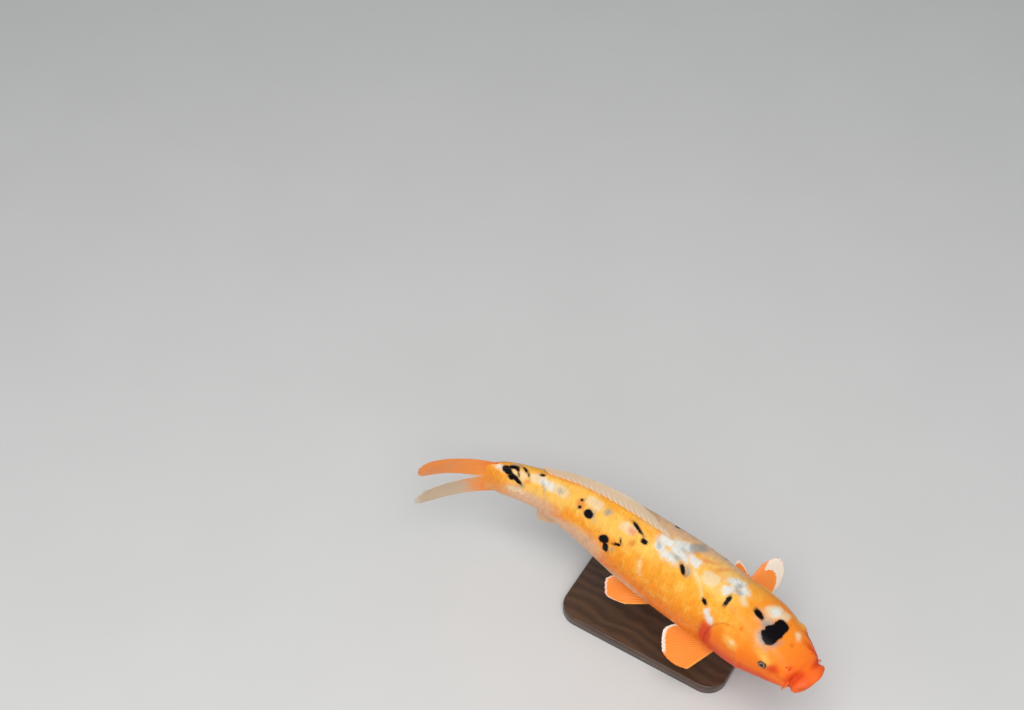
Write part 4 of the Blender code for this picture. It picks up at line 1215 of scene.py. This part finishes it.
# %% Finish of the eyes
# The steps below are angles from the line of sight, in degrees.
BRONZE, DARK_IRIS, IRIS_FLECK = (0.19, 0.095, 0.030), (0.026, 0.018, 0.011), (0.18, 0.11, 0.05)
GOLD, PUPIL = (0.62, 0.38, 0.12), (0.004, 0.004, 0.005)
eye_finish = Finish("koi eye", IOR=1.36, Coat_Weight=0.7, Coat_Roughness=0.02)
angle = eye_finish.kept("angle")
wheel = eye_finish.kept_vector("wheel")
flecks = eye_finish.noise(eye_finish.stretch(wheel, (5.0, 5.0, 1.2)), 1.6, 3.0) - 0.5
iris = eye_finish.blend(eye_finish.step(angle + flecks * 8.0, 26.0, 42.0), BRONZE, DARK_IRIS)
iris = eye_finish.blend(eye_finish.step(flecks, 0.0, 0.2) * 0.16, iris, IRIS_FLECK)
gold_ring = eye_finish.step(angle, 21.5, 22.5) * (1.0 - eye_finish.step(angle + flecks * 3.0, 23.5, 25.5))
iris = eye_finish.blend(gold_ring * 0.8, iris, GOLD)
colour = eye_finish.blend(eye_finish.step(angle, 21.0, 22.2), PUPIL, iris)
eye_finish.set(Base_Color=colour, Roughness=0.22 + flecks * 0.10)
for word in ("left", "right"):
    settle(bpy.data.objects["eyeball_" + word], "eyes", eye_finish.material, "eye_" + word)

# %% [markdown]
# ## Barbels
# A carp feels for food with two pairs of fleshy barbels, a short pair on the upper lip and a longer one at
# the corners of the mouth. Each is a soft taper that droops and trails. Its rings follow the same path as
# the solid one, but start inside the lip, swell a little at the root, and close in a round tip.

# %% Four barbels
BARBELS = {"long": (0.044, -18.0, 52.0, 0.014, 0.0010), "short": (0.038, 14.0, 26.0, 0.004, 0.0008)}
BARBEL_RISE = (-0.0006, 0.0087, -0.0057)    # over the skin: at the root, along it, along it squared
BARBEL_STEPS, BARBEL_SIDES = 40, 18
BARBEL_RED, TIP_ORANGE = (0.86, 0.12, 0.015), (0.90, 0.40, 0.16)
barbel_finish = Finish("barbel", IOR=1.38, Coat_Weight=0.45, Coat_Roughness=0.14, Subsurface_Weight=0.12,
                       Subsurface_Radius=(0.003, 0.0012, 0.0007))
reach = barbel_finish.kept("along")
grain = barbel_finish.noise(barbel_finish.node("ShaderNodeTexCoord")[3], 900.0, 3.0) - 0.5
colour = barbel_finish.blend(barbel_finish.step(reach + grain * 0.3, 0.3, 1.0), BARBEL_RED, TIP_ORANGE)
barbel_finish.set(Base_Color=colour, Roughness=0.38 + grain * 0.2)
barbel_finish.bump(grain, 0.0001, 0.6)
for word, side in (("left", 1), ("right", -1)):
    for kind, (root_share, root_turn, droop, trail, thickness) in BARBELS.items():
        _, back, _ = axis(root_share)
        t = np.linspace(-0.08, 1.0, BARBEL_STEPS + 1)
        share = root_share + trail * t
        turn = side_turn(root_turn - droop * t, side)
        rise = BARBEL_RISE[0] + BARBEL_RISE[1] * t + BARBEL_RISE[2] * t ** 2
        path = surface(share, turn) + outward(share, turn) * rise[:, None]
        ahead = np.gradient(path, axis=0)
        across = np.cross(ahead, back)
        across /= np.linalg.norm(across, axis=1, keepdims=True)
        over = np.cross(ahead, across)
        over /= np.linalg.norm(over, axis=1, keepdims=True)
        radius = thickness * (1.0 - 0.55 * np.clip(t, 0, 1))
        radius = radius * np.sqrt(np.clip(1.0 - t ** 14, 0.0, 1.0)) + 1e-5
        radius = radius * (1.0 + 0.5 * hump(t, -0.05, 0.10)) * (1.0 + 0.03 * np.sin(60.0 * t))
        spin = circle(BARBEL_SIDES)
        rings = path[:, None] + (across[:, None] * np.cos(spin)[None, :, None]
                                 + over[:, None] * np.sin(spin)[None, :, None]) * radius[:, None, None]
        points = np.concatenate([rings.reshape(-1, 3), [path[0]], [path[-1]]])
        faces = grid_faces(BARBEL_STEPS + 1, BARBEL_SIDES, True)
        fans = end_fans(BARBEL_STEPS + 1, BARBEL_SIDES)
        kept = np.concatenate([np.repeat(t, BARBEL_SIDES), [0.0, 1.0]])
        piece = add_piece(f"barbel_{word}_{kind}", points, faces, fans, {"along": kept})
        settle(piece, "lips", barbel_finish.material, f"barbel_{kind}_{word}")

# %% [markdown]
# ## The display stand
# A swimming fish has nothing to stand on, so two slim steel rods hold it over a dark wooden base. The base
# is one board with round corners and a rounded upper edge, turned here as rings from the underside up and
# over the edge. The rods run on into the belly, where a real one would sit in a socket.

# %% Base board
low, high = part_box("stand_base")
CORNER, EDGE_ROUND, CORNER_STEPS = 0.022, 0.0020, 18
FOOT_EDGE, TOP_INSET, EDGE_STEPS = 0.0004, 0.012, 8
SHARP_ANGLE = math.radians(50.0)
half_length, half_width, board = float(high.x), float(high.y), float(high.z)
outline = []
for quarter in range(4):
    x = (half_length - CORNER) * (1 if quarter in (0, 3) else -1)
    y = (half_width - CORNER) * (1 if quarter in (0, 1) else -1)
    for step in range(CORNER_STEPS + 1):
        a = math.radians(90.0 * quarter + 90.0 * step / CORNER_STEPS)
        outline.append((x, y, math.cos(a), math.sin(a)))
outline = np.array(outline)
levels = [(FOOT_EDGE, 0.0), (0.0, FOOT_EDGE)]
levels += [(EDGE_ROUND * (1 - math.cos(a)), board - EDGE_ROUND + EDGE_ROUND * math.sin(a))
           for a in np.linspace(0.0, math.pi / 2, EDGE_STEPS)]
levels += [(TOP_INSET, board)]
rings = []
for inset, height in levels:
    flat = outline[:, :2] + outline[:, 2:] * (CORNER - inset)
    rings.append(np.column_stack([flat, np.full(len(flat), height)]))
sides = len(outline)
points = np.concatenate([*rings, [[0.0, 0.0, 0.0]], [[0.0, 0.0, board]]])
base = add_piece("base_board", points, grid_faces(len(rings), sides, True), end_fans(len(rings), sides))
base.data.set_sharp_from_angle(angle=SHARP_ANGLE)

# %% Dark stained wood
WOOD_DARK, WOOD_LIGHT = (0.036, 0.017, 0.009), (0.105, 0.052, 0.026)
WOOD_FIBRE, WOOD_PORE = (0.060, 0.028, 0.014), (0.012, 0.006, 0.004)
wood = Finish("dark stained wood", IOR=1.5, Coat_Weight=0.25, Coat_Roughness=0.22)
place = wood.node("ShaderNodeTexCoord")[3]
waver = wood.noise(wood.stretch(place, (5.0, 22.0, 22.0)), 1.0, 3.0)
bands = wood.node("ShaderNodeTexWave", {"wave_type": "BANDS", "bands_direction": "Y"},
                  {"Vector": wood.stretch(place, (0.6, 1.0, 1.0)), "Scale": 24.0, "Distortion": 9.0,
                   "Detail": 3.0, "Detail Scale": 1.2})[1]
fibre = wood.noise(wood.stretch(place, (40.0, 900.0, 900.0)), 1.0, 2.0)
pores = wood.step(wood.noise(wood.stretch(place, (90.0, 1500.0, 1500.0)), 1.0, 1.0), 0.62, 0.72)
colour = wood.blend(bands * 0.7 + waver * 0.3, WOOD_DARK, WOOD_LIGHT)
colour = wood.blend(fibre * 0.5, colour, WOOD_FIBRE)
colour = wood.blend(pores * 0.7, colour, WOOD_PORE)
wood.set(Base_Color=colour, Roughness=0.34 + fibre * 0.14 + pores * 0.12)
wood.bump(fibre * 0.4 - pores, 0.00012, 0.5)
settle(base, "stand_wood", wood.material, "stand_base")

# %% Steel rods
steel = Finish("brushed steel", Metallic=1.0)
place = steel.node("ShaderNodeTexCoord")[3]
brushed = steel.noise(steel.stretch(place, (2600.0, 2600.0, 60.0)), 1.0, 3.0)
colour = steel.blend(brushed, (0.50, 0.50, 0.51), (0.66, 0.66, 0.67))
steel.set(Base_Color=colour, Roughness=0.22 + brushed * 0.16)
steel.bump(brushed, 0.00003, 0.5)
ROD_SIDES = 48
ROD_SHARES = {"front": 0.31, "rear": 0.50}
INTO_BASE, INTO_BELLY = 0.002, 0.004
for word, share in ROD_SHARES.items():
    low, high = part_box("stand_rod_" + word)
    middle = (low + high) / 2
    radius = (high.x - low.x) / 2
    ends = (board - INTO_BASE, float(surface(share, 270.0)[2]) + INTO_BELLY)
    spin = circle(ROD_SIDES)
    x, y = middle.x + radius * np.cos(spin), middle.y + radius * np.sin(spin)
    rings = [np.column_stack([x, y, np.full(ROD_SIDES, height)]) for height in ends]
    points = np.concatenate([*rings, [(middle.x, middle.y, height) for height in ends]])
    rod = add_piece("rod_" + word, points, grid_faces(2, ROD_SIDES, True), end_fans(2, ROD_SIDES))
    rod.data.set_sharp_from_angle(angle=SHARP_ANGLE)
    settle(rod, "stand_steel", steel.material, "stand_rod_" + word)

# %% [markdown]
# ## Floor, light and camera
# The model is shown as in a museum's catalogue: on a pale floor, under a large soft light with a weaker
# one opposite, so the wet skin gets broad highlights and no hard shadows. The camera looks down on the fish
# from its right side, ahead of the tail.

# %% Floor
floor_mesh = bpy.data.meshes.new("floor")
FLOOR_HALF, FLOOR_HEIGHT = 4.0, -0.0002         # just under the base
corner_signs = ((-1, -1), (1, -1), (1, 1), (-1, 1))
corners = [(x * FLOOR_HALF, y * FLOOR_HALF, FLOOR_HEIGHT) for x, y in corner_signs]
floor_mesh.from_pydata(corners, [], [(0, 1, 2, 3)])
floor = bpy.data.objects.new("floor", floor_mesh)
bpy.context.scene.collection.objects.link(floor)
plaster = Finish("pale floor", Roughness=0.7)
cloud = plaster.noise(plaster.node("ShaderNodeTexCoord")[3], 6.0, 4.0)
plaster.set(Base_Color=plaster.blend(cloud, (0.62, 0.62, 0.61), (0.67, 0.67, 0.66)))
floor_mesh.materials.append(plaster.material)


# %% Soft light
def soft_light(name, place, aim, size, power, colour):
    """A square lamp of a size in metres that faces the aim."""
    lamp = bpy.data.lights.new(name, "AREA")
    lamp.shape = "SQUARE"
    lamp.size = size
    lamp.energy = power
    lamp.color = colour
    made = bpy.data.objects.new(name, lamp)
    made.location = place
    made.rotation_euler = (Vector(aim) - Vector(place)).to_track_quat("-Z", "Y").to_euler()
    bpy.context.scene.collection.objects.link(made)
    return made


AIM = (0.0, 0.0, 0.10)
soft_light("key", (0.30, -0.75, 2.0), AIM, 1.4, 31.0, (1.0, 0.98, 0.95))
soft_light("fill", (1.1, -1.7, 1.5), AIM, 1.6, 12.0, (0.94, 0.97, 1.0))
soft_light("low fill", (-1.3, -1.5, 0.8), AIM, 1.4, 5.0, (1.0, 0.97, 0.94))
world = bpy.data.worlds.new("studio")
bpy.context.scene.world = world
world.use_nodes = True
world.node_tree.nodes["Background"].inputs["Color"].default_value = (0.92, 0.95, 1.0, 1.0)
world.node_tree.nodes["Background"].inputs["Strength"].default_value = 0.37
bpy.context.scene.view_settings.view_transform = "Standard"     # keeps the koi's colours vivid

# %% Camera
CAMERA_AZIMUTH, CAMERA_HEIGHT_ANGLE = 31.6, 49.0
CAMERA_PLACE = (0.2766, -0.7401, 1.3248)
a, e = math.radians(CAMERA_AZIMUTH), math.radians(CAMERA_HEIGHT_ANGLE)
toward = -Vector((math.sin(a) * math.cos(e), -math.cos(a) * math.cos(e), math.sin(e)))
camera_data = bpy.data.cameras.new("camera")
camera_data.lens = 50.0
camera_data.sensor_width = 36.0
camera = bpy.data.objects.new("camera", camera_data)
camera.location = CAMERA_PLACE
camera.rotation_euler = toward.to_track_quat("-Z", "Y").to_euler()
bpy.context.scene.collection.objects.link(camera)
bpy.context.scene.camera = camera
